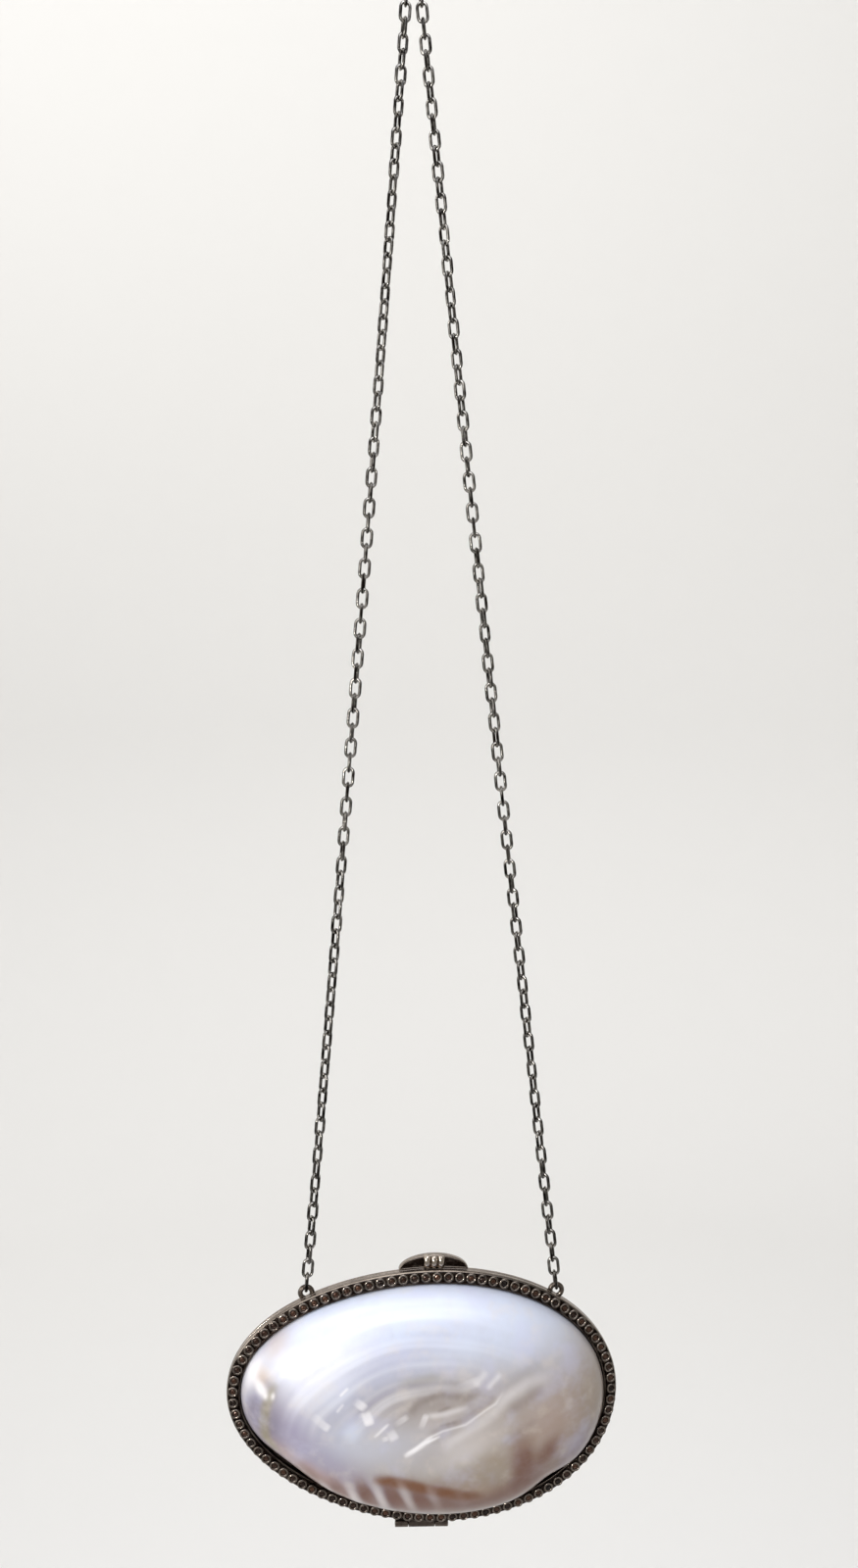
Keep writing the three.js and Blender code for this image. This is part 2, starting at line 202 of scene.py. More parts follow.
def hung(points):
    """Points of the bag in millimetres to metres in the part: leaned about Y and dropped below the origin."""
    x, y, z = np.moveaxis(np.asarray(points, float), -1, 0)
    leaned_x = x * np.cos(LEAN) + z * np.sin(LEAN)
    leaned_z = z * np.cos(LEAN) - x * np.sin(LEAN)
    return MM * np.stack([leaned_x, y, leaned_z - DROP], -1)


def grid_faces(rows, columns, rows_loop, columns_loop):
    """Quads between the neighbours of a grid, closed round in either direction."""
    row = np.arange(rows if rows_loop else rows - 1)[:, None]
    column = np.arange(columns if columns_loop else columns - 1)[None, :]
    low, high = row * columns, (row + 1) % rows * columns
    beside = (column + 1) % columns
    return np.stack([low + column, low + beside, high + beside, high + column], -1).reshape(-1, 4)


def outward(points, faces):
    """Faces of a closed surface, all turned over if its volume, summed over their corners, is negative."""
    volume = 0.0
    for face in faces:
        corner = np.moveaxis(points[face], 1, 0)
        for second, third in zip(corner[1:], corner[2:]):
            volume += np.sum(corner[0] * np.cross(second, third))
    return faces if volume > 0 else [face[:, ::-1] for face in faces]


def loft(rings, looped=False):
    """A closed skin over rings of points: ring to ring, then round to the first or to a pole at each end."""
    count, sides = rings.shape[:2]
    points = rings.reshape(-1, 3)
    faces = [grid_faces(count, sides, looped, True)]
    if not looped:
        side = np.arange(sides)
        beside = (side + 1) % sides
        last = (count - 1) * sides
        pole = np.full(sides, len(points))
        faces.append(np.stack([pole, beside, side], -1))
        faces.append(np.stack([pole + 1, last + side, last + beside], -1))
        points = np.concatenate([points, rings[[0, -1]].mean(1)])
    return points, outward(points, faces)


def rounded(outline, radius, steps=4):
    """A closed outline with eased corners: each corner becomes a parabola that starts a radius from it, or
    just under half a side where the side is short."""
    outline = np.asarray(outline, float)
    under_half = 0.45

    def towards(other):
        run = other - outline
        length = np.linalg.norm(run, axis=1, keepdims=True)
        return outline + run / length * np.minimum(radius, under_half * length)

    before = towards(np.roll(outline, 1, 0))[:, None]
    after = towards(np.roll(outline, -1, 0))[:, None]
    t = np.linspace(0, 1, steps)[None, :, None]
    curve = (1 - t) ** 2 * before + 2 * t * (1 - t) * outline[:, None] + t ** 2 * after
    return curve.reshape(-1, 2)


def around_oval(section, angles):
    """Rings of a section of (out, y) points carried around the oval."""
    out, y = np.asarray(section, float).T
    flat = oval_offset(angles[:, None], np.broadcast_to(out, (len(angles), len(out))))
    return np.stack([flat[..., 0], np.broadcast_to(y, flat.shape[:2]), flat[..., 1]], -1)


def ring(radius, wire, count, sides):
    """A ring flat in its first two axes: a circle of wire carried round a larger circle."""
    around = TURN * np.arange(count)[:, None] / count
    section = TURN * np.arange(sides)[None, :] / sides
    reach = radius + wire * np.cos(section)
    height = np.broadcast_to(wire * np.sin(section), (count, sides))
    return loft(np.stack([reach * np.cos(around), reach * np.sin(around), height], -1), looped=True)


def repeated(base, faces, axes, centres):
    """Copies of one small shape: the base points along each copy's three axes, moved to its centre."""
    points = centres[:, None] + np.einsum("pi,nij->npj", base, axes)
    steps = len(base) * np.arange(len(centres))
    copies = [(face[None] + steps[:, None, None]).reshape(-1, face.shape[1]) for face in faces]
    return points.reshape(-1, 3), copies


def add_piece(name, shells, finish, body, stands_for=(), crease=40, values=None):
    """One mesh from closed surfaces in metres, with its finish, its body and the solids that it stands for.
    Edges sharper than the crease angle stay sharp, and values are numbers kept at each point."""
    starts = np.cumsum([0] + [len(points) for points, _ in shells])
    faces = [face + start for (_, group), start in zip(shells, starts) for face in group]
    points = np.concatenate([points for points, _ in shells])
    corners = np.concatenate([face.ravel() for face in faces])
    sizes = np.concatenate([np.full(len(face), face.shape[1]) for face in faces])
    mesh = bpy.data.meshes.new(name)
    mesh.vertices.add(len(points))
    mesh.vertices.foreach_set("co", points.astype(np.float32).ravel())
    mesh.loops.add(len(corners))
    mesh.loops.foreach_set("vertex_index", corners.astype(np.int32))
    mesh.polygons.add(len(sizes))
    mesh.polygons.foreach_set("loop_start", (np.cumsum(sizes) - sizes).astype(np.int32))
    mesh.update(calc_edges=True)
    mesh.validate()
    mesh.shade_smooth()
    mesh.set_sharp_from_angle(angle=np.radians(crease))
    for label, numbers in (values or {}).items():
        attribute = mesh.attributes.new(label, "FLOAT", "POINT")
        attribute.data.foreach_set("value", numbers.astype(np.float32))
    mesh.materials.append(finish)
    made = bpy.data.objects.new(name, mesh)
    bpy.context.scene.collection.objects.link(made)
    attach(made, body)
    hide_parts(*stands_for)
    return made


# Materials

def colour(code):
    """An sRGB hex colour as linear red, green and blue with full alpha."""
    channels = np.array([int(code[i:i + 2], 16) for i in (1, 3, 5)]) / 255
    linear = np.where(channels <= 0.04045, channels / 12.92, ((channels + 0.055) / 1.055) ** 2.4)
    return (*linear.tolist(), 1.0)


def scale_of(size):
    """The texture scale that gives features of a size in millimetres."""
    return 1 / (size * MM)


def add_node(tree, kind, sockets=None, **settings):
    """Adds one node with its settings. Each socket gets a value, or a link where the value is an output."""
    node = tree.nodes.new(kind)
    for name, value in settings.items():
        setattr(node, name, value)
    for key, value in (sockets or {}).items():
        if isinstance(value, bpy.types.NodeSocket):
            tree.links.new(value, node.inputs[key])
        else:
            node.inputs[key].default_value = value
    return node


def new_material(name):
    """An empty material, its node tree and its surface shader."""
    material = bpy.data.materials.new(name)
    material.use_nodes = True
    tree = material.node_tree
    return material, tree, tree.nodes["Principled BSDF"]


# Polished mussel nacre: thin layers of aragonite under a hand polish. The eye gets a milky white body with
# soft lilac and tan clouds, fine growth lines, a faint pastel shimmer, brown stains, and a broad satin gloss
# under a clear sharper one. Light and shade are also painted into the colour: a cool blue-white over the top
# as a painted reflection of the sky, darker warm, grey and plum tones along the bottom and lower right as
# painted shade, and pale painted highlights on the crease, the facets, the flute crests and the upper left.
# Tints of the clouds. The cool tint also paints a reflection of the sky over the top, and warm and grey also
# paint shade along the bottom and lower right.
CLOUD_TINTS = {
    "cool_and_sky_sheen": "#CBD3E4",
    "warm_and_shade": "#968671",
    "grey_and_shade": "#7D7169",
    "lilac": "#8D84A0",
    "dusk": "#6A6174",
    "rose": "#A98A86",
    "olive": "#7F755A",
    "tan": "#A88C74",
}
# Plum is brown staining and also painted shade along the bottom and in the flutes' hollows; bright is a
# painted highlight; ochre is a stain.
STAIN_SHADE_AND_HIGHLIGHT_TINTS = {"plum_and_shade": "#693D29", "ochre": "#6C3A04", "pale_and_highlight": "#EFEBEA"}
NACRE_TINTS = [*CLOUD_TINTS, *STAIN_SHADE_AND_HIGHLIGHT_TINTS]
GROWTH_TINTS = [(-0.45, "#83798A"), (0.45, "#EFEDF2")]

# Patches that drift through the layers: their size in millimetres, where in the noise they start and are
# fullest, and how much they cover there
Drift = namedtuple("Drift", "size start full most tint")
DEEP_DRIFTS = [Drift(19, 0.50, 0.80, 0.45, "#C6B6B3"), Drift(26, 0.50, 0.80, 0.45, "#B4BDD0")]
SHIMMER = [Drift(8, 0.48, 0.75, 0.24, "#D9CDBE"), Drift(13, 0.48, 0.75, 0.30, "#C3C2DC")]


def growth_layers(tree):
    """Dark and pale growth lines, from the valve's own numbers."""
    lines = add_node(tree, "ShaderNodeAttribute", attribute_name="growth").outputs["Fac"]
    layers = []
    for strength, tint in GROWTH_TINTS:
        share = add_node(tree, "ShaderNodeMath", {
            0: lines, 1: strength,
        }, operation="MULTIPLY", use_clamp=True)
        layers.append((share.outputs[0], tint))
    return layers


def drift_layers(tree, place, drifts):
    """Soft patches where a noise is high."""
    layers = []
    for drift in drifts:
        noise = add_node(tree, "ShaderNodeTexNoise", {
            "Vector": place, "Scale": scale_of(drift.size), "Detail": 3.0, "Roughness": 0.5,
        }).outputs["Fac"]
        share = add_node(tree, "ShaderNodeMapRange", {
            "Value": noise, "From Min": drift.start, "From Max": drift.full,
            "To Min": 0.0, "To Max": drift.most,
        }, interpolation_type="SMOOTHSTEP")
        layers.append((share.outputs["Result"], drift.tint))
    return layers


def tint_layers(tree, place, tints):
    """Tints as strong as the valve's own numbers say, a little ragged."""
    noise = add_node(tree, "ShaderNodeTexNoise", {
        "Vector": place, "Scale": scale_of(6), "Detail": 4.0, "Roughness": 0.6,
    }).outputs["Fac"]
    rough = add_node(tree, "ShaderNodeMath", {0: noise, 1: 0.5, 2: 0.72}, operation="MULTIPLY_ADD")
    layers = []
    for name, tint in tints.items():
        amount = add_node(tree, "ShaderNodeAttribute", attribute_name=name).outputs["Fac"]
        share = add_node(tree, "ShaderNodeMath", {
            0: amount, 1: rough.outputs[0],
        }, operation="MULTIPLY", use_clamp=True)
        layers.append((share.outputs[0], tint))
    return layers


def polished_nacre():
    material, tree, shader = new_material("polished_mussel_nacre")
    place = add_node(tree, "ShaderNodeTexCoord").outputs["Object"]
    cloud = add_node(tree, "ShaderNodeTexNoise", {
        "Vector": place, "Scale": scale_of(30), "Detail": 2.0, "Roughness": 0.5,
    })
    body = add_node(tree, "ShaderNodeValToRGB", {"Fac": cloud.outputs["Fac"]})
    body.color_ramp.interpolation = "EASE"
    ramp = body.color_ramp.elements
    ramp[0].position, ramp[0].color = 0.32, colour("#A79E9D")
    ramp[1].position, ramp[1].color = 0.68, colour("#BDB6B8")
    layers = growth_layers(tree) + drift_layers(tree, place, DEEP_DRIFTS)
    layers += tint_layers(tree, place, CLOUD_TINTS) + drift_layers(tree, place, SHIMMER)
    layers += tint_layers(tree, place, STAIN_SHADE_AND_HIGHLIGHT_TINTS)
    mixed = body.outputs["Color"]
    for share, tint in layers:
        step = add_node(tree, "ShaderNodeMix", {0: share, 6: mixed, 7: colour(tint)}, data_type="RGBA")
        mixed = step.outputs[2]
    tree.links.new(mixed, shader.inputs["Base Color"])
    shader.inputs["Roughness"].default_value = 0.3
    shader.inputs["IOR"].default_value = 1.53
    shader.inputs["Coat Weight"].default_value = 0.4
    shader.inputs["Coat Roughness"].default_value = 0.12
    return material


# Gunmetal plate on cast zinc, darkened and then rubbed: dark nickel stays in the hollows, and the bands and
# edges are rubbed back. The eye gets a brown-black metal with pale warm bands, uneven gloss and casting
# grain. The settings and the clasp are buffed to a smoother finish, which gives small hard glints.
GRAIN_DEPTH = 0.05


def gunmetal_plate(name, dark_tint, worn_and_highlight_tint, dull, glossy, grain_strength):
    material, tree, shader = new_material(name)
    place = add_node(tree, "ShaderNodeTexCoord").outputs["Object"]
    tarnish = add_node(tree, "ShaderNodeTexNoise", {
        "Vector": place, "Scale": scale_of(5), "Detail": 5.0, "Roughness": 0.65,
    }).outputs["Fac"]
    # On the castings this value is wear; on the chain's wire it carries a painted highlight.
    rubbed_and_sheen = add_node(tree, "ShaderNodeAttribute", attribute_name="rubbed_and_sheen").outputs["Fac"]
    uneven = add_node(tree, "ShaderNodeMath", {0: tarnish, 1: 0.9, 2: -0.45}, operation="MULTIPLY_ADD")
    amount = add_node(tree, "ShaderNodeMath", {
        0: rubbed_and_sheen, 1: uneven.outputs[0],
    }, operation="ADD", use_clamp=True).outputs[0]
    tone = add_node(tree, "ShaderNodeValToRGB", {"Fac": amount})
    ramp = tone.color_ramp.elements
    ramp[0].position, ramp[0].color = 0.0, colour(dark_tint)
    ramp[1].position, ramp[1].color = 1.0, colour(worn_and_highlight_tint)
    grain = add_node(tree, "ShaderNodeTexNoise", {
        "Vector": place, "Scale": scale_of(0.5), "Detail": 2.0,
    }).outputs["Fac"]
    gloss = add_node(tree, "ShaderNodeMapRange", {
        "Value": amount, "From Min": 0.0, "From Max": 1.0, "To Min": dull, "To Max": glossy,
    })
    bump = add_node(tree, "ShaderNodeBump", {
        "Height": grain, "Strength": grain_strength, "Distance": GRAIN_DEPTH * MM,
    })
    tree.links.new(tone.outputs["Color"], shader.inputs["Base Color"])
    tree.links.new(gloss.outputs["Result"], shader.inputs["Roughness"])
    tree.links.new(bump.outputs["Normal"], shader.inputs["Normal"])
    shader.inputs["Metallic"].default_value = 1.0
    return material


# Foiled dark glass, pressed with facets: brown depths, each stone a little different, and hard sharp glints.
# The foil behind the glass throws light back as a metal does.
def foiled_dark_glass():
    material, tree, shader = new_material("foiled_dark_glass")
    tone = add_node(tree, "ShaderNodeAttribute", attribute_name="tone").outputs["Fac"]
    depth = add_node(tree, "ShaderNodeValToRGB", {"Fac": tone})
    ramp = depth.color_ramp.elements
    ramp[0].position, ramp[0].color = 0.0, colour("#160D09")
    ramp[1].position, ramp[1].color = 1.0, colour("#543828")
    tree.links.new(depth.outputs["Color"], shader.inputs["Base Color"])
    shader.inputs["Metallic"].default_value = 0.6
    shader.inputs["Roughness"].default_value = 0.1
    shader.inputs["IOR"].default_value = 1.62
    return material


NACRE = polished_nacre()
GUNMETAL = gunmetal_plate("gunmetal_plated_casting", "#2B211C", "#978C82", 0.30, 0.16, 0.12)
BUFFED = gunmetal_plate("buffed_gunmetal_plate", "#2B211C", "#B5A99D", 0.20, 0.08, 0.03)

# The same plate on drawn steel wire is smoother and greyer. The faces of each link are painted pale as a
# painted highlight, most at its ends, and its edges are left dark as painted shade, so the eye gets bright
# ends and dark sides.
WIRE = gunmetal_plate("gunmetal_plated_wire", "#120E0C", "#EAE4DB", 0.20, 0.09, 0.02)
CRYSTAL = foiled_dark_glass()


# Valves

# Where the front valve's edge falls short of the rim, by turn around the oval in degrees
Notch = namedtuple("Notch", "turn spread depth")
NOTCHES = [Notch(219, 16, 2.4), Notch(315, 11, 2.8)]

# Clouds of colour: a soft oval patch of a tint, in millimetres and degrees. The back valve has a few.
Cloud = namedtuple("Cloud", "tint x z long wide turn amount")
FRONT_CLOUDS = [
    # The first, broad cool cloud over the top is a painted reflection of the bright sky above.
    Cloud("cool_and_sky_sheen", 6, 40, 85, 23, 2, 1.40),
    Cloud("cool_and_sky_sheen", -46, 20, 28, 18, 40, 0.70),
    Cloud("cool_and_sky_sheen", -32.5, -4.5, 3.4, 3.2, 0, 1.00),
    Cloud("cool_and_sky_sheen", -24, -13, 30, 13, 10, 0.60),
    Cloud("cool_and_sky_sheen", 2, -23, 20, 6, 0, 0.50),
    # The warm clouds are the nacre's own beige, and on the lower right and along the bottom also painted
    # shade on the side away from the light.
    Cloud("warm_and_shade", 42, -20, 42, 28, 15, 1.10),
    Cloud("warm_and_shade", 64, 4, 24, 18, 80, 0.90),
    Cloud("warm_and_shade", 0, 8, 28, 12, 10, 0.50),
    Cloud("warm_and_shade", 5, -40, 66, 17, 2, 1.50),
    # The small grey clouds tone the eye; the broad ones on the lower right and along the bottom are painted
    # shade.
    Cloud("grey_and_shade", 3, 7, 12, 4.5, 12, 0.35),
    Cloud("grey_and_shade", 37, 17, 8, 4.0, 40, 0.30),
    Cloud("grey_and_shade", -12, 2, 10, 3.0, 35, 0.30),
    Cloud("grey_and_shade", 60, -24, 24, 10, 35, 0.70),
    Cloud("grey_and_shade", 10, -42, 64, 11, 2, 1.60),
    Cloud("lilac", -59, -3, 10, 7, -60, 0.70),
    Cloud("lilac", -52, -15, 15, 8, -25, 0.55),
    Cloud("lilac", -38, -24, 18, 7, -25, 0.40),
    Cloud("lilac", 62, -20, 14, 5, 60, 0.50),
    Cloud("lilac", -20, 24, 30, 5, 22, 0.20),
    Cloud("dusk", -69, -2, 12, 7.0, 85, 2.00),
    Cloud("dusk", -66, -14, 10, 4.0, -60, 0.90),
    Cloud("rose", -53, -23, 16, 3.5, -38, 0.80),
    Cloud("rose", -40, -31, 12, 4.0, -35, 0.60),
    Cloud("rose", 50, -4, 14, 12, 60, 0.25),
    Cloud("tan", -69.7, 13, 3.2, 2.6, 70, 0.90),
    Cloud("tan", -64, 25, 7, 3.5, 50, 0.50),
    Cloud("tan", 22, -33, 18, 5.0, -6, 0.45),
    # The plum clouds are brown stains, except the broad one along the bottom, which is painted shade.
    Cloud("plum_and_shade", 38.6, -21, 10, 4.2, 97, 1.70),
    Cloud("plum_and_shade", 48, -16.5, 6.5, 3.4, 60, 1.30),
    Cloud("plum_and_shade", 38, -33, 18, 5, 25, 1.60),
    Cloud("plum_and_shade", -46, -29, 10, 2.6, -38, 0.75),
    Cloud("plum_and_shade", -4, -38, 34, 5.0, -4, 1.40),
    # The bright clouds on the upper left are painted highlights: the glare there and small glints by the left
    # edge.
    Cloud("pale_and_highlight", -69.9, 8.7, 3.0, 1.7, -54, 1.40),
    Cloud("pale_and_highlight", -74, 13, 6, 2.4, 75, 0.75),
    Cloud("pale_and_highlight", -46, 18, 20, 9, 40, 0.45),
    Cloud("pale_and_highlight", 14, -13, 14, 5, 30, 0.25),
    Cloud("pale_and_highlight", -65, 7, 1.3, 0.7, 80, 0.70),
    Cloud("pale_and_highlight", -68, 6.3, 1.0, 0.7, 80, 0.60),
]

BACK_CLOUDS = [
    # On the back valve too, the cool cloud over the top is a painted sky reflection and the grey one along
    # the bottom painted shade.
    Cloud("cool_and_sky_sheen", 10, 34, 70, 22, 0, 0.90),
    Cloud("warm_and_shade", -30, -20, 40, 22, 0, 0.55),
    Cloud("grey_and_shade", 5, -42, 60, 13, 0, 0.80),
]
BACK_EDGE_LILAC = 0.5
BACK_EDGE_SPREAD = 0.16

# Lines on the front valve, tapered at both ends: the crease with its ridge, painted pale as a painted
# highlight, with painted shade along their sides, the rings of the eye above it, small painted glints, the
# olive line by the left edge and the ochre one above the flutes
Streak = namedtuple("Streak", "tint width amount points")
STREAKS = [
    Streak("grey_and_shade", 1.5, 0.50, [(-3, -5.5), (6, -2), (13, 1), (20, 6), (25, 11)]),
    Streak("grey_and_shade", 1.4, 0.40, [(-1, -9), (8, -5.5), (15, -2.6), (23, 2), (28, 8)]),
    Streak("pale_and_highlight", 0.5, 0.42, [(-10, -14), (-2, -7), (4, -4), (13, -1.5), (20.5, 4), (25, 7), (28, 12)]),
    Streak("pale_and_highlight", 0.9, 1.30, [(-11.5, -15), (-6.2, -11.4), (0, -6.4)]),
    Streak("pale_and_highlight", 0.5, 1.00, [(-9, -14), (-3, -9.2), (3, -6)]),
    Streak("pale_and_highlight", 2.4, 0.34, [(4, -14), (7.8, -8), (17, -2.2), (24, 2.8), (29, 9), (38, 15), (50, 17)]),
    Streak("grey_and_shade", 2.2, 0.50, [(46, 12.5), (38, 8), (30, 3)]),
    Streak("grey_and_shade", 1.2, 0.28, [(44, 0), (36, -5), (26, -12)]),
    Streak("grey_and_shade", 1.4, 0.65, [(-10, 3), (-7.3, 7), (1.9, 11.4), (12.9, 9.8), (19, 12)]),
    Streak("grey_and_shade", 0.7, 0.55, [(1, 4), (7, 6.3)]),
    Streak("grey_and_shade", 0.6, 0.45, [(2, -2), (10, 0)]),
    Streak("pale_and_highlight", 1.2, 0.35, [(-4, 2), (4, 3), (14, 6)]),
    Streak("olive", 2.0, 0.30, [(-16, 15), (-0.6, 18), (12, 16)]),
    Streak("pale_and_highlight", 0.5, 0.70, [(-38.5, 9.6), (-35, 13.4)]),
    Streak("pale_and_highlight", 0.5, 0.45, [(-39.5, 3), (-36.6, 7)]),
    Streak("pale_and_highlight", 0.5, 0.80, [(-24, -7), (-18, -0.6)]),
    Streak("pale_and_highlight", 1.5, 0.30, [(21, 20.4), (16, 14)]),
    Streak("pale_and_highlight", 1.1, 0.35, [(27, 19.4), (21, 12.6)]),
    Streak("olive", 1.6, 1.70, [
        (-64, 13), (-66.3, 7), (-67.7, 1.6), (-68.3, -5), (-67.2, -11.5), (-61, -20),
    ]),
    Streak("ochre", 2.1, 2.20, [(-24, -26.4), (-16, -26.6), (-9, -28), (1, -30.6), (13, -33.5), (24, -35)]),
]

# Small facets on the front valve, each painted pale as a painted glint: an eased rectangle, turned, painted
# brighter towards one end
Facet = namedtuple("Facet", "x z long wide turn amount")
FACETS = [
    Facet(-30.2, 6.8, 2.4, 1.5, -35, 0.50),
    Facet(-26.9, 1.4, 2.6, 1.7, -70, 0.90),
    Facet(-29.6, 2.4, 1.2, 0.9, 20, 0.20),
    Facet(-43.9, -2.8, 1.9, 1.5, -30, 0.42),
    Facet(-46.8, -0.3, 2.6, 1.6, -40, 0.16),
    Facet(-16.6, -5.6, 2.1, 1.7, -60, 0.42),
    Facet(-19.5, -7.4, 1.2, 0.9, 20, 0.35),
    Facet(-13.3, 0.4, 2.6, 1.1, 35, 0.32),
    Facet(-4.2, 0.0, 2.6, 1.1, 72, 0.50),
    Facet(13.6, 15.0, 3.6, 1.8, 15, 0.22),
]

# The growth lines ring this place on the valves, and are wider than they are tall. They come at two pitches,
# each with its strength, and on each valve they fade away from one turn around that place and one reach.
GROWTH_X = -0.5
GROWTH_Z = -10.0
GROWTH_STRETCH = 1.46
GROWTH_STEPS = 120
GROWTH_PITCHES = [(1.7, 0.7), (0.8, 0.7)]
Growth = namedtuple("Growth", "seed strength turn turn_spread reach reach_spread")
FRONT_GROWTH = Growth(5, 3.6, 125, 48, 36, 17)
BACK_GROWTH = Growth(11, 2.0, 70, 60, 40, 15)

# The slanted flutes near the front valve's lower edge, painted pale on their crests as a painted highlight
# and plum in their hollows as painted shade
FLUTE_X = -23.0
FLUTE_Z = -36.0
FLUTE_LONG = 20.0
FLUTE_WIDE = 6.5
FLUTE_PITCH = 11.0
FLUTE_SLANT = 0.43
FLUTE_START = 7.14
FLUTE_FADE = 0.12
FLUTE_HOLLOW_PLUM_SHADE = 2.2
FLUTE_LILAC = 0.5
FLUTE_CREST_HIGHLIGHT = 0.6

# How far the marks stand out, in millimetres, how fast tints cover what is under them, and how much closer
# the rings of a valve are near its edge
GROWTH_RELIEF = 0.02
FLUTE_RELIEF = 0.35
STREAK_RELIEF = 0.1
FACET_RELIEF = 0.12
LAYER_DENSITY = 1.4
RING_CROWD = 0.35


def notch_depth(angle):
    """The sum of the notches: each a bell over its turn."""
    total = np.zeros_like(angle)
    for notch in NOTCHES:
        away = angle - np.radians(notch.turn)
        away = np.arctan2(np.sin(away), np.cos(away))
        total += notch.depth * np.exp(-(away / np.radians(notch.spread)) ** 2)
    return total


def dome(count, side, inset, rise):
    """Rings of a valve's dome from near its middle to its edge: the oval's inset edge drawn in by a share,
    at a height that is a root of one less a power of that share."""
    angle = TURN * np.arange(SHELL_STEPS) / SHELL_STEPS
    step = np.arange(1, count + 1)[:, None] / count
    share = step * (1 + RING_CROWD - RING_CROWD * step ** 2)
    short = notch_depth(angle) if side < 0 else 0 * angle
    edge = oval_offset(angle, -LIP_IN - GAP - inset - short)
    height = rise * (1 - share ** DOME_POWER) ** (1 / DOME_ROUND)
    y = np.broadcast_to(side * (SHELL_SEAT + height), (count, SHELL_STEPS))
    return np.stack([share * edge[:, 0], y, share * edge[:, 1]], -1), np.broadcast_to(share, y.shape)


def turned(x, z, mark):
    """Places along and across a mark that is turned about its middle."""
    turn = np.radians(mark.turn)
    along = (x - mark.x) * np.cos(turn) + (z - mark.z) * np.sin(turn)
    across = (z - mark.z) * np.cos(turn) - (x - mark.x) * np.sin(turn)
    return along / mark.long, across / mark.wide


def distance_to_line(x, z, line):
    """The shortest distance to a run of straight pieces, and the share along it where that is."""
    spots = np.stack([x, z], -1)[..., None, :]
    start, run = line[:-1], np.diff(line, axis=0)
    along = np.clip(((spots - start) * run).sum(-1) / (run ** 2).sum(-1), 0, 1)
    away = np.linalg.norm(spots - start - along[..., None] * run, axis=-1)
    nearest = away.argmin(-1)
    share = (nearest + np.take_along_axis(along, nearest[..., None], -1)[..., 0]) / len(run)
    return away.min(-1), share


def growth_lines(x, z, growth):
    """Lines that ring the growth's middle: smooth random tones, broad and fine, that change with the distance
    from it and wave a little around it, inside a bell of turn and reach."""
    draw = np.random.default_rng(growth.seed)
    wide, tall = (x - GROWTH_X) / GROWTH_STRETCH, z - GROWTH_Z
    reach, around = np.hypot(wide, tall), np.arctan2(tall, wide)
    waved = reach + 0.8 * np.sin(3 * around + 0.5) + 0.4 * np.sin(7 * around + 0.1 * reach)
    tone = np.zeros_like(x)
    for pitch, strength in GROWTH_PITCHES:
        steps = draw.normal(size=GROWTH_STEPS)
        steps = np.convolve(steps, [0.25, 0.5, 0.25], "same")
        tone += strength * np.interp(waved / pitch, np.arange(len(steps)), steps)
    off_turn = (around - np.radians(growth.turn)) / np.radians(growth.turn_spread)
    off_reach = (reach - growth.reach) / growth.reach_spread
    return growth.strength * tone * np.exp(-off_turn ** 2 - off_reach ** 2)


def cloud_marks(x, z, clouds):
    """The strength of each tint: the sum of its clouds, each a bell over an oval."""
    marks = {tint: np.zeros_like(x) for tint in NACRE_TINTS}
    for cloud in clouds:
        along, across = turned(x, z, cloud)
        marks[cloud.tint] += cloud.amount * np.exp(-along ** 2 - across ** 2)
    return marks


def add_flutes(x, z, share, marks):
    """Flutes as a wave inside an oval bell: crests painted pale as a painted highlight and hollows painted
    plum as painted shade. Gives their relief.
    """
    along, down = x - FLUTE_X, z - FLUTE_Z
    wave = np.cos(TURN * (along + FLUTE_SLANT * down + FLUTE_START) / FLUTE_PITCH)
    bell = np.exp(-(along / FLUTE_LONG) ** 2 - (down / FLUTE_WIDE) ** 2)
    marks["plum_and_shade"] += FLUTE_HOLLOW_PLUM_SHADE * bell * np.clip(0.15 - wave, 0, 1)
    marks["lilac"] += FLUTE_LILAC * bell
    marks["pale_and_highlight"] += FLUTE_CREST_HIGHLIGHT * bell * np.clip(wave, 0, 1) ** 1.5
    return FLUTE_RELIEF * bell * wave * np.clip((1 - share) / FLUTE_FADE, 0, 1)


def add_streaks(x, z, marks):
    """Lines as a bell of the distance to them, tapered to their ends. Gives the relief of the pale ones,
    which are painted highlights.
    """
    relief = np.zeros_like(x)
    for streak in STREAKS:
        away, along = distance_to_line(x, z, np.array(streak.points))
        line = np.clip(6 * along * (1 - along), 0, 1) * np.exp(-(away / streak.width) ** 2)
        marks[streak.tint] += streak.amount * line
        relief += STREAK_RELIEF * line * (streak.tint == "pale_and_highlight")
    return relief


def add_facets(x, z, marks):
    """Facets as rectangles with rounded corners and soft edges, each painted pale as a painted glint. Gives
    their relief, which tilts each one.
    """
    relief = np.zeros_like(x)
    for facet in FACETS:
        along, across = turned(x, z, facet)
        out = (along ** 4 + across ** 4) ** 0.25
        inside = np.clip((1.4 - out) / 0.7, 0, 1)
        marks["pale_and_highlight"] += facet.amount * inside * np.clip(0.8 + 0.5 * along, 0, 1.3)
        relief += FACET_RELIEF * inside * along
    return relief


def front_marks(x, z, share):
    """The front valve's relief in millimetres, the strength of each tint, and the tone of growth lines."""
    marks = cloud_marks(x, z, FRONT_CLOUDS)
    growth = growth_lines(x, z, FRONT_GROWTH)
    relief = GROWTH_RELIEF * growth + add_flutes(x, z, share, marks)
    relief += add_streaks(x, z, marks) + add_facets(x, z, marks)
    return relief, marks, growth


def plain_marks(x, z, share):
    """The same for the plainer back valve: faint growth lines, a few clouds, and lilac towards the edge."""
    marks = cloud_marks(x, z, BACK_CLOUDS)
    marks["lilac"] += BACK_EDGE_LILAC * np.exp(-((share - 1) / BACK_EDGE_SPREAD) ** 2)
    growth = growth_lines(x, z, BACK_GROWTH)
    return GROWTH_RELIEF * growth, marks, growth


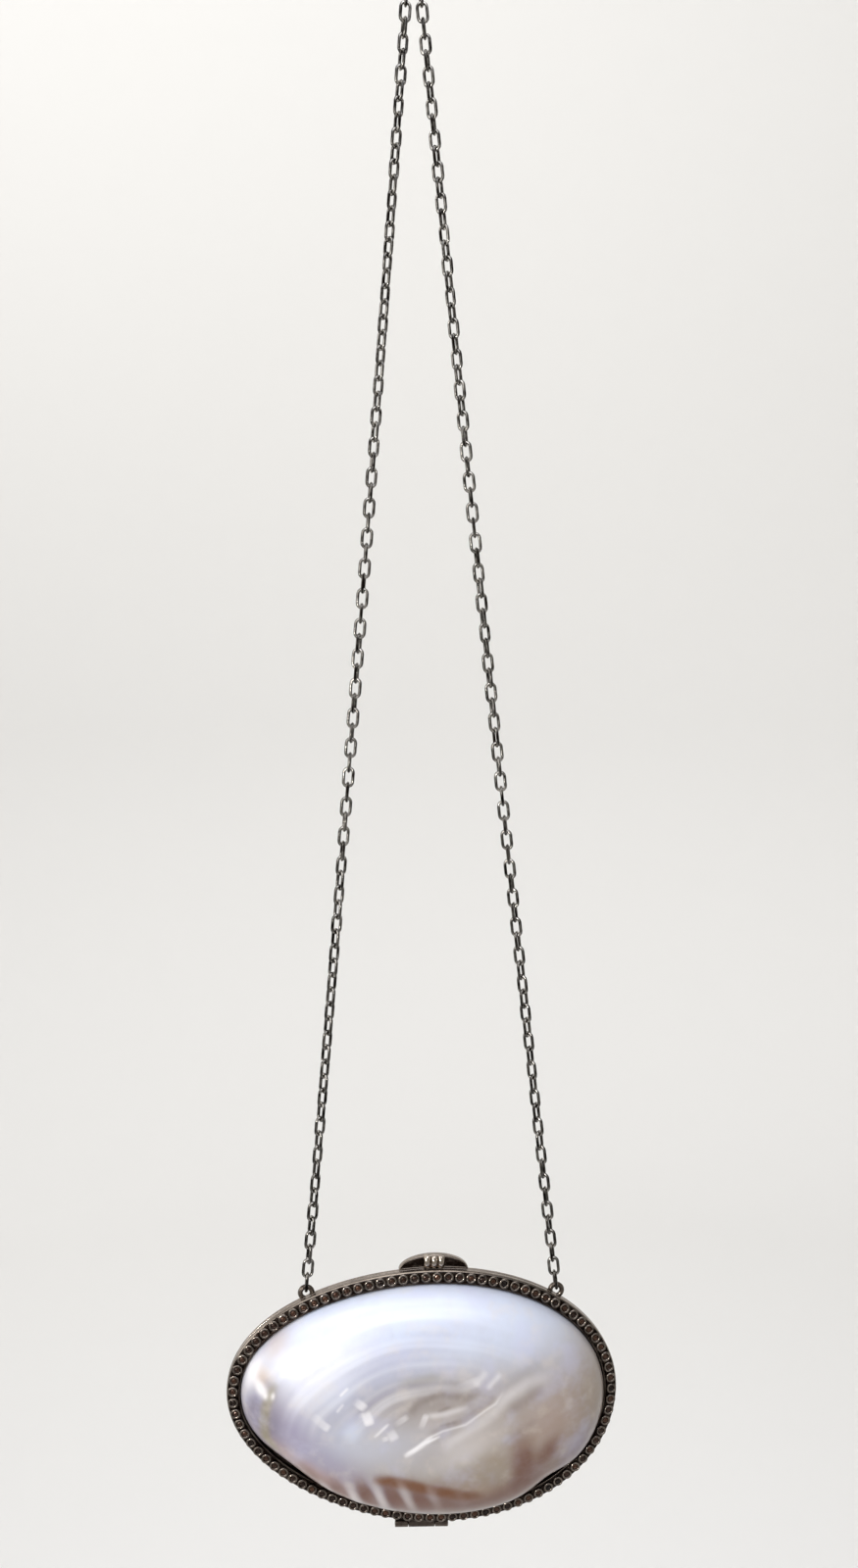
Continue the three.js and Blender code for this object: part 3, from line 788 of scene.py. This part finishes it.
def lifted(rings, side, relief):
    """Rings moved out by the relief along the surface's normal, worked out from neighbours on the grid."""
    down = np.gradient(rings, axis=0)
    round_it = np.roll(rings, -1, 1) - np.roll(rings, 1, 1)
    normal = np.cross(down, round_it)
    normal /= np.linalg.norm(normal, axis=-1, keepdims=True)
    facing = np.sign(normal[..., 1:2]) * side
    facing[facing == 0] = 1
    return rings + normal * facing * relief[..., None]


def add_valve(name, side, body, solid_name, mark):
    """A hollow valve: its marked outer dome and, inside that, a plain one a wall's thickness in."""
    outside, share = dome(SHELL_RINGS, side, 0, SHELL_RISE)
    relief, marks, growth = mark(outside[..., 0], outside[..., 2], share)
    outside = lifted(outside, side, relief)
    inside, _ = dome(INNER_RINGS, side, SHELL_WALL, SHELL_RISE - SHELL_WALL)
    rings = np.concatenate([outside, inside[::-1]])
    points, faces = loft(hung(rings))
    layers = {tint: 1 - np.exp(-LAYER_DENSITY * amount) for tint, amount in marks.items()}
    layers["growth"] = growth
    unseen = INNER_RINGS * SHELL_STEPS
    values = {
        label: np.concatenate([layer.ravel(), np.zeros(unseen), [layer[0].mean(), 0]])
        for label, layer in layers.items()
    }
    add_piece(name, [(points, faces)], NACRE, body, [solid_name], crease=60, values=values)


add_valve("front_valve", -1, "front_half", "front_shell", front_marks)
add_valve("back_valve", 1, "back_half", "back_shell", plain_marks)


# Rims with what is soldered to them

BAND_TOP = top_of_oval(0.0) + BAND_OUT
BAND_BOTTOM = bottom_of_oval(0.0) - BAND_OUT
HINGE_Z = BAND_BOTTOM - GAP - HINGE_RADIUS
CLASP_Z = BAND_TOP + GAP + CLASP_LIFT + CLASP_BARREL_RADIUS
BAND_SIDE = [[BAND_OUT, PARTING], [BAND_OUT, BAND_DEPTH - BAND_BEVEL], [0, BAND_DEPTH]]
LIP_SIDE = [
    [LIP_BEVEL - LIP_IN, LIP_DEPTH],
    [-LIP_IN, LIP_DEPTH - LIP_BEVEL],
    [-LIP_IN, LEDGE_DEPTH],
    [-LEDGE_IN, LEDGE_DEPTH],
    [-LEDGE_IN, PARTING],
]
CHANNEL = [
    [-CHANNEL_FROM, BAND_DEPTH],
    [-CHANNEL_FROM, CHANNEL_FLOOR_OUT],
    [-CHANNEL_TO, CHANNEL_FLOOR_IN],
    [-CHANNEL_TO, LIP_DEPTH],
]
RIM_ANGLES = even_angles(RIM_STEPS, 0.0)

# How rubbed the plate is, and how far from an edge of the section the rubbing reaches
RUB_REACH = 0.5
RUB_EASE = 0.3
BAND_RUB = 0.8
LIP_RUB = 0.35
HINGE_RUB = 0.2
SOLDERED_RUB = 0.35
COLLET_RUB = 0.32
MOON_RUB = 0.6
THUMB_RUB = 0.9
BARREL_RUB = 0.4


def knuckle(ends, axis, radius, bore, leaf, reach):
    """One bored knuckle along X with its leaf: a circle that runs into a flat leaf between two sideways
    places, reaching up, or down where the reach is negative. The ends are eased."""
    near, far = leaf
    turn = np.linspace(np.arccos(near / radius), TURN + np.arccos(far / radius), KNUCKLE_STEPS)
    round_part = radius * np.stack([np.cos(turn), np.sin(turn)], -1)
    flat_part = np.array([[far, abs(reach)], [near, abs(reach)]])
    outline = np.concatenate([round_part, flat_part])
    inner_turn = np.arctan2(outline[:, 1], outline[:, 0])
    hole = bore * np.stack([np.cos(inner_turn), np.sin(inner_turn)], -1)
    low, high = min(ends), max(ends)
    x = np.array([low, low + KNUCKLE_EASE, high - KNUCKLE_EASE, high, high, low])
    smaller = KNUCKLE_END * outline
    outlines = np.stack([smaller, outline, outline, smaller, hole, hole])
    y = axis[0] + outlines[..., 0]
    z = axis[1] + np.sign(reach) * outlines[..., 1]
    return loft(hung(np.stack([np.broadcast_to(x[:, None], y.shape), y, z], -1)), looped=True)


def hinge_knuckle(ends, side):
    """A knuckle under the band, with its leaf on one side of the parting, sunk into the band."""
    leaf = sorted([side * PARTING, side * HINGE_RADIUS])
    reach = BAND_BOTTOM + LEAF_SINK - HINGE_Z
    return knuckle(ends, (0.0, HINGE_Z), HINGE_RADIUS, HINGE_BORE, leaf, reach)


def clasp_knuckle(ends, reach):
    """A knuckle on the clasp's axis, with its leaf towards the front."""
    leaf = (-CLASP_BARREL_RADIUS, -CLASP_LEAF_EDGE)
    return knuckle(ends, (CLASP_AXIS_Y, CLASP_Z), CLASP_BARREL_RADIUS, CLASP_BORE, leaf, reach)


def lug_eye(side):
    """The middle of a lug's ring, above the outer face of the band."""
    turn = np.linspace(np.pi, 0, FINE_RUN)
    angle = np.interp(side * LUG_X, oval_point(turn)[:, 0], turn)
    x, z = oval_offset(angle, BAND_OUT)
    return np.array([x, LUG_Y, z + LUG_RISE])


def lug(side):
    """A ring that stands across the bag's depth, sunk a little into the band that it is soldered to."""
    points, faces = ring(LUG_RADIUS, LUG_WIRE, LUG_STEPS, LUG_SIDES)
    standing = hung(points[:, [0, 2, 1]] + lug_eye(side))
    return standing, outward(standing, faces)


def rubbed_band(section):
    """How rubbed each point of a rim's section is: fully on the outer band, a little on the lip's edge."""
    out, depth = section.T
    band = np.clip((out + RUB_EASE) / (2 * RUB_EASE), 0, 1)
    lip = np.exp(-((out + LIP_IN) / RUB_REACH) ** 2) * (depth > LIP_DEPTH - RUB_REACH)
    return np.maximum(BAND_RUB * band, LIP_RUB * lip)


def add_front_rim():
    """The front section carried around the oval, with the middle knuckle of the hinge."""
    section = rounded(BAND_SIDE + CHANNEL + LIP_SIDE, RIM_EASE)
    rim = loft(hung(around_oval(section * [1, -1], RIM_ANGLES)), looped=True)
    end = HINGE_LENGTH / 4 - PARTING
    middle = hinge_knuckle((-end, end), -1)
    rubbed_and_sheen = np.concatenate([np.tile(rubbed_band(section), RIM_STEPS), np.full(len(middle[0]), HINGE_RUB)])
    add_piece(
        "front_rim_casting", [rim, middle], GUNMETAL, "front_half", ["front_rim"],
        values={"rubbed_and_sheen": rubbed_and_sheen},
    )


def add_back_rim():
    """The back section carried around the oval, with the outer knuckles of the hinge, the ears of the clasp
    and the lugs."""
    section = rounded(BAND_SIDE + LIP_SIDE, RIM_EASE)
    shells = [loft(hung(around_oval(section, RIM_ANGLES)), looped=True)]
    for side in (-1, 1):
        shells.append(hinge_knuckle((side * (HINGE_LENGTH / 4 + PARTING), side * HINGE_LENGTH / 2), 1))
        ear_ends = (side * (CLASP_BARREL_LENGTH / 4 + PARTING), side * CLASP_BARREL_LENGTH / 2)
        shells.append(clasp_knuckle(ear_ends, BAND_TOP - LEAF_SINK - CLASP_Z))
        shells.append(lug(side))
    soldered = sum(len(points) for points, _ in shells[1:])
    rubbed_and_sheen = np.concatenate([np.tile(rubbed_band(section), RIM_STEPS), np.full(soldered, SOLDERED_RUB)])
    add_piece(
        "back_rim_casting", shells, GUNMETAL, "back_half", ["back_rim"],
        values={"rubbed_and_sheen": rubbed_and_sheen},
    )


add_front_rim()
add_back_rim()


# Stones and their settings

CHANNEL_MIDDLE = (CHANNEL_FROM + CHANNEL_TO) / 2
CHANNEL_SLOPE = (CHANNEL_FLOOR_IN - CHANNEL_FLOOR_OUT) / (CHANNEL_TO - CHANNEL_FROM)

# The rings of a cut stone from its base to its table: a share of its radius, and a height in millimetres
STONE_CUT = np.array([[1.0, -0.35], [1.0, 0.0], [0.78, 0.30], [0.42, 0.48]])


def cut_stone():
    """A stone with straight sides: base, girdle, crown and table."""
    around = TURN * (np.arange(STONE_SIDES) + 0.5) / STONE_SIDES
    corners = np.stack([np.cos(around), np.sin(around)], -1)
    flat = STONE_RADIUS * STONE_CUT[:, None, :1] * corners[None]
    height = np.broadcast_to(STONE_CUT[:, 1:], (len(STONE_CUT), STONE_SIDES))
    return loft(np.concatenate([flat, height[..., None]], -1))


def strip_depth(inward):
    """How deep the strip's underside lies, a gap above the channel's sloping floor."""
    return CHANNEL_FLOOR_OUT + CHANNEL_SLOPE * (inward - CHANNEL_FROM) + GAP


def add_strip():
    """The strip that carries the settings, with a gap to each side of the channel."""
    outer, inner = CHANNEL_FROM + GAP, CHANNEL_TO - GAP
    section = np.array([
        [-outer, -strip_depth(outer)],
        [-outer, -strip_depth(outer) - STRIP_THICK],
        [-inner, -strip_depth(inner) - STRIP_THICK],
        [-inner, -strip_depth(inner)],
    ])
    strip = loft(hung(around_oval(rounded(section, STRIP_EASE), RIM_ANGLES)), looped=True)
    add_piece("stone_strip", [strip], GUNMETAL, "front_half", ["front_stone_row"], crease=60)


def stone_seats():
    """Seats evenly spaced along the middle of the strip's face: their centres, and the directions along the
    strip, across it and straight out of it."""
    angles = even_angles(STONE_COUNT, -CHANNEL_MIDDLE)
    seat = oval_offset(angles, np.full(STONE_COUNT, -CHANNEL_MIDDLE))
    out = oval_normal(angles)
    still = np.zeros(STONE_COUNT)
    facing = np.stack([CHANNEL_SLOPE * out[:, 0], still - 1, CHANNEL_SLOPE * out[:, 1]], -1)
    facing /= np.linalg.norm(facing, axis=1, keepdims=True)
    along = np.stack([-out[:, 1], still, out[:, 0]], -1)
    centres = np.stack([seat[:, 0], still - strip_depth(CHANNEL_MIDDLE) - STRIP_THICK, seat[:, 1]], -1)
    return centres, along, np.cross(facing, along), facing


def add_collets(centres, along, across, facing):
    """A round collet on each seat."""
    collet = ring(COLLET_RADIUS, COLLET_WIRE, COLLET_STEPS, COLLET_SIDES)
    axes = np.stack([along, across, facing], 1)
    points, faces = repeated(*collet, axes, centres + COLLET_RISE * facing)
    collets = (hung(points), outward(points, faces))
    add_piece(
        "stone_collets", [collets], BUFFED, "front_half", ["front_stone_row"],
        crease=60, values={"rubbed_and_sheen": np.full(len(points), COLLET_RUB)},
    )


def add_stones(centres, along, across, facing):
    """A stone in each collet, each spun and toned by chance."""
    draw = np.random.default_rng(STONE_SEED)
    spin = draw.uniform(0, TURN, STONE_COUNT)[:, None]
    spun = np.cos(spin) * along + np.sin(spin) * across
    axes = np.stack([spun, np.cross(facing, spun), facing], 1)
    points, faces = repeated(*cut_stone(), axes, centres + STONE_RISE * facing)
    tone = np.repeat(draw.uniform(0, 1, STONE_COUNT), len(points) // STONE_COUNT)
    stones = (hung(points), outward(points, faces))
    add_piece(
        "dark_stones", [stones], CRYSTAL, "front_half", ["front_stone_row"],
        crease=8, values={"tone": tone},
    )


SEATS = stone_seats()
add_strip()
add_collets(*SEATS)
add_stones(*SEATS)


# Clasp

MOON_ARC = 41
MOON_FOOT = 20
MOON_POINTS = MOON_ARC + MOON_FOOT

# The half-moon's border from its back round to its front, then its sunk face: how far in from the outline,
# and where in the bag's depth
MOON_BORDER = [
    (0.9, CLASP_BACK), (0.25, CLASP_BACK - 0.05), (0.06, CLASP_BACK - 0.2), (0.0, CLASP_BACK - 0.5),
    (0.0, 0.55), (0.06, 0.3), (0.22, 0.14), (0.45, CLASP_FRONT), (0.75, CLASP_FRONT + 0.02),
]
MOON_FACE = [(0.98, 0.22), (1.08, 0.45), (1.14, 0.72), (1.5, 0.78)]


def half_moon(inset):
    """A half-moon outline on the curve of the band: an arc over its foot, then back along the foot."""
    reach = CLASP_WIDTH / 2 - inset
    lift = inset / 2
    turn = np.linspace(0, np.pi, MOON_ARC)
    arc_x = reach * np.cos(turn)
    foot_x = reach * np.linspace(-1, 1, MOON_FOOT + 2)[1:-1]
    x = np.concatenate([arc_x, foot_x])
    rise = np.concatenate([(CLASP_HEIGHT - inset - lift) * np.sin(turn), 0 * foot_x])
    return x, top_of_oval(x) + BAND_OUT + GAP + lift + rise


def moon_plate():
    """The half-moon with a rounded border and a sunk face: its outline stepped in and along the depth."""
    rings = []
    for inset, y in MOON_BORDER + MOON_FACE:
        x, z = half_moon(inset)
        rings.append(np.stack([x, np.full_like(x, y), z], -1))
    return loft(hung(np.stack(rings)))


def thumb_block():
    """A block with round ribs down its front: a ribbed outline carried up, fuller at half its height."""
    half = THUMB_WIDTH / 2
    pitch = THUMB_WIDTH / THUMB_RIBS
    x = half * np.linspace(-1, 1, THUMB_STEPS)
    place = (x + half) % pitch / pitch * 2 - 1
    front = THUMB_FRONT - RIB_HEIGHT * np.sqrt(np.clip(1 - (place / RIB_SHARE) ** 2, 0, 1))
    outline = np.concatenate([np.stack([x, front], -1), [[half, THUMB_BACK], [-half, THUMB_BACK]]])
    up = np.linspace(0, 1, THUMB_ROWS)[:, None]
    bulge = 1 - (2 * up - 1) ** 2
    x = outline[:, 0] * (1 - THUMB_NARROW + THUMB_NARROW * bulge ** 0.3)
    y = THUMB_BACK + (outline[:, 1] - THUMB_BACK) * (1 - THUMB_SLIM + THUMB_SLIM * bulge)
    z = np.broadcast_to(BAND_TOP + GAP + CLASP_LIFT + THUMB_HEIGHT * up, x.shape)
    return loft(hung(np.stack([x, y, z], -1)))


def add_clasp():
    """The lever: half-moon, thumb block, and its knuckle between the ears with a little play."""
    reach = CLASP_BARREL_LENGTH / 4 - PARTING - CLASP_PLAY
    moon, thumb, barrel = moon_plate(), thumb_block(), clasp_knuckle((-reach, reach), CLASP_LEAF)
    moon_rubbed = np.zeros(len(moon[0]))
    moon_rubbed[:len(MOON_BORDER) * MOON_POINTS] = MOON_RUB
    others = [np.full(len(thumb[0]), THUMB_RUB), np.full(len(barrel[0]), BARREL_RUB)]
    add_piece(
        "half_moon_clasp", [moon, thumb, barrel], BUFFED, "clasp", ["clasp_lever"],
        values={"rubbed_and_sheen": np.concatenate([moon_rubbed, *others])},
    )


add_clasp()
for pin in ("hinge_pin", "clasp_pin"):
    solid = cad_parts[pin]
    solid.data.materials.clear()
    solid.data.materials.append(GUNMETAL)


# Chain

def link_rings(length):
    """One link along its first axis, flat in its first two: a wire round two half circles and two sides."""
    bend = (LINK_WIDTH - LINK_WIRE) / 2
    straight = (length - LINK_WIRE) / 2 - bend
    turn = np.linspace(-np.pi / 2, np.pi / 2, LINK_BEND_STEPS)
    half = np.stack([straight + bend * np.cos(turn), bend * np.sin(turn)], -1)
    line = np.concatenate([half, -half])
    outward_turn = np.concatenate([turn, turn + np.pi])
    normal = np.stack([np.cos(outward_turn), np.sin(outward_turn)], -1)
    section = TURN * np.arange(LINK_SIDES) / LINK_SIDES
    sideways = LINK_WIRE / 2 * np.cos(section)[None, :, None] * normal[:, None]
    height = np.broadcast_to(LINK_WIRE / 2 * np.sin(section), (len(line), LINK_SIDES))
    return np.concatenate([line[:, None] + sideways, height[..., None]], -1)


def strand_knots(side):
    """Where a strand's links meet, from the top down to its lug: even steps along a slightly bowed line."""
    top = np.array([side * CHAIN_TOP_X, 0.0, CHAIN_TOP_Z])
    eye = hung(lug_eye(side)) / MM + np.array([0, 0, LUG_RADIUS - LUG_WIRE])
    share = np.linspace(0, 1, LINKS_A_SIDE + 1)[:, None]
    inward = np.array([-side, 0.0, 0.0])
    return top + share * (eye - top) + CHAIN_SAG * 4 * share * (1 - share) * inward


def strand(side, seed):
    """The axes and centres of a strand's links, and their pitch. Each is a quarter turn from the last, with a
    slow twist and a little play that die out at both ends."""
    knots = strand_knots(side)
    along = np.diff(knots, axis=0)
    pitch = np.linalg.norm(along, axis=1)
    along /= pitch[:, None]
    middle = (np.arange(LINKS_A_SIDE) + 0.5) / LINKS_A_SIDE
    play = CHAIN_PLAY * np.random.default_rng(seed).uniform(-1, 1, LINKS_A_SIDE)
    twist = CHAIN_TURN + CHAIN_TWIST * np.sin(TURN * CHAIN_WAVES * middle) * np.sin(np.pi * middle)
    free = np.clip(CHAIN_FREEING * middle * (1 - middle) - CHAIN_STILL, 0, 1)
    quarter = (np.pi / 2 * (np.arange(LINKS_A_SIDE) % 2) + free * (play + side * twist))[:, None]
    depth = np.array([0.0, 1.0, 0.0]) - along * along[:, 1:2]
    depth /= np.linalg.norm(depth, axis=1, keepdims=True)
    wide = np.cos(quarter) * depth + np.sin(quarter) * np.cross(along, depth)
    axes = np.stack([along, wide, np.cross(along, wide)], 1)
    return axes, (knots[1:] + knots[:-1]) / 2, pitch.mean()


def add_chain():
    """Both strands as joined meshes of links, with the link that bridges them at the top in the left one.
    The wire is painted pale towards the link's faces and ends as a painted highlight, with painted shade left
    at its edges: by the squares of its height and its place along."""
    for side, name, seed in STRANDS:
        axes, centres, pitch = strand(side, seed)
        if side < 0:
            axes = np.concatenate([axes, [[[1, 0, 0], [0, 0, 1], [0, -1, 0]]]])
            centres = np.concatenate([centres, [[0, 0, LINK_WIDTH / 2]]])
        base, link_faces = loft(link_rings(pitch + 2 * LINK_WIRE), looped=True)
        points, faces = repeated(base, link_faces, axes, centres)
        links = (MM * points, outward(points, faces))
        # The pale faces and ends are a painted highlight and the dark edges painted shade.
        rubbed_and_sheen = (2 * base[:, 2] / LINK_WIRE * base[:, 0] / base[:, 0].max()) ** 2
        add_piece(
            name + "_chain_links", [links], WIRE, "back_half", ["chain_" + name],
            crease=180, values={"rubbed_and_sheen": np.tile(rubbed_and_sheen, len(centres))},
        )


add_chain()


# Stage: a pale floor that sweeps up into a wall all round, soft light and the camera

FLOOR_Z = -1.3
WALL_TOP = 3.2
WALL_RADIUS = 3.0
SWEEP_RADIUS = 0.9
SWEEP_STEPS = 20
FLOOR_MIDDLE = 0.5
FLOOR_SIDES = 96

# Flat lights: place, target and size in metres, spread in degrees, power in watts
Light = namedtuple("Light", "name place target size spread power tint")
BAG_TOP = (0.0, 0.0, -0.5)
LIGHTS = [
    Light("window", (-1.15, -0.95, 0.0), BAG_TOP, (1.5, 0.9), 90, 3.8, "#FFFFFF"),
    Light("side_window", (-1.5, 0.1, 0.1), BAG_TOP, (0.9, 0.9), 90, 1.1, "#FFFFFF"),
    Light("sparkle", (-0.80, -1.25, -0.30), BAG_TOP, (0.10, 0.10), 60, 0.7, "#FFFFFF"),
    Light("sky", (0.0, -1.1, 1.0), BAG_TOP, (1.8, 0.9), 90, 4.7, "#EEF3FF"),
    Light("ceiling", (-0.6, 0.3, 2.4), (-0.4, 2.9, 0.7), (2.8, 2.8), 140, 57, "#FFFEFC"),
]

# The camera, turned from +Y to the right, down, and about its line of sight
CAMERA_PLACE = np.array([-0.05932, -0.59358, -0.26450])
CAMERA_YAW, CAMERA_PITCH, CAMERA_ROLL = np.radians([6.0, 4.4, -0.558])
CAMERA_LENS = 33.75
CAMERA_SENSOR = 36.0


def add_floor():
    """A profile of floor, quarter circle and wall, spun about the upright through the bag."""
    turn = np.linspace(-np.pi / 2, 0, SWEEP_STEPS)
    bend = WALL_RADIUS - SWEEP_RADIUS + SWEEP_RADIUS * np.cos(turn)
    reach = np.concatenate([[FLOOR_MIDDLE], bend, [WALL_RADIUS]])[:, None]
    rise = np.concatenate([[0.0], SWEEP_RADIUS * (1 + np.sin(turn)), [WALL_TOP - FLOOR_Z]])[:, None]
    around = TURN * np.arange(FLOOR_SIDES)[None, :] / FLOOR_SIDES
    shape = (len(rise), FLOOR_SIDES)
    z = np.broadcast_to(rise + FLOOR_Z, shape)
    points = np.stack([reach * np.cos(around), reach * np.sin(around), z], -1)
    middle = np.arange(FLOOR_SIDES)[::-1].tolist()
    mesh = bpy.data.meshes.new("pale_floor")
    mesh.from_pydata(points.reshape(-1, 3).tolist(), [], grid_faces(*shape, False, True).tolist() + [middle])
    mesh.shade_smooth()
    material, _, shader = new_material("pale_matt_paint")
    shader.inputs["Base Color"].default_value = colour("#E8E7E5")
    shader.inputs["Roughness"].default_value = 0.9
    mesh.materials.append(material)
    floor = bpy.data.objects.new("pale_floor", mesh)
    bpy.context.scene.collection.objects.link(floor)


def add_light(light):
    """A rectangle of soft light that faces its target."""
    lamp = bpy.data.lights.new(light.name, "AREA")
    lamp.shape = "RECTANGLE"
    lamp.size, lamp.size_y = light.size
    lamp.spread = np.radians(light.spread)
    lamp.energy = light.power
    lamp.color = colour(light.tint)[:3]
    made = bpy.data.objects.new(light.name, lamp)
    place = np.array(light.place)
    made.matrix_world = facing_matrix(place, np.array(light.target) - place)
    bpy.context.scene.collection.objects.link(made)


def add_world():
    """Even pale light through the open top of the room."""
    world = bpy.data.worlds.new("pale_room")
    world.use_nodes = True
    background = world.node_tree.nodes["Background"]
    background.inputs["Color"].default_value = colour("#F2F3F6")
    background.inputs["Strength"].default_value = 0.5
    bpy.context.scene.world = world


def facing_matrix(place, forward, roll=0.0):
    """A matrix at a place whose -Z looks forward and whose Y is up, rolled about the line of sight."""
    forward = forward / np.linalg.norm(forward)
    right = np.cross(forward, [0, 0, 1])
    right /= np.linalg.norm(right)
    up = np.cross(right, forward)
    tilted = np.cos(roll) * right + np.sin(roll) * up
    raised = np.cos(roll) * up - np.sin(roll) * right
    matrix = np.eye(4)
    matrix[:3, :3] = np.stack([tilted, raised, -forward], 1)
    matrix[:3, 3] = place
    return Matrix(matrix.tolist())


def add_camera():
    """The photograph's view from the height of the chain's middle: the lens takes in about 56 degrees along
    the picture's long side."""
    level = np.cos(CAMERA_PITCH)
    forward = np.array([np.sin(CAMERA_YAW) * level, np.cos(CAMERA_YAW) * level, -np.sin(CAMERA_PITCH)])
    data = bpy.data.cameras.new("camera")
    data.sensor_fit = "AUTO"
    data.sensor_width = CAMERA_SENSOR
    data.lens = CAMERA_LENS
    data.clip_start, data.clip_end = 0.01, 50.0
    camera = bpy.data.objects.new("camera", data)
    camera.matrix_world = facing_matrix(CAMERA_PLACE, forward, CAMERA_ROLL)
    bpy.context.scene.collection.objects.link(camera)
    bpy.context.scene.camera = camera


add_floor()
for light in LIGHTS:
    add_light(light)
add_world()
add_camera()
bpy.context.scene.view_settings.view_transform = "Standard"

bpy.context.view_layer.update()
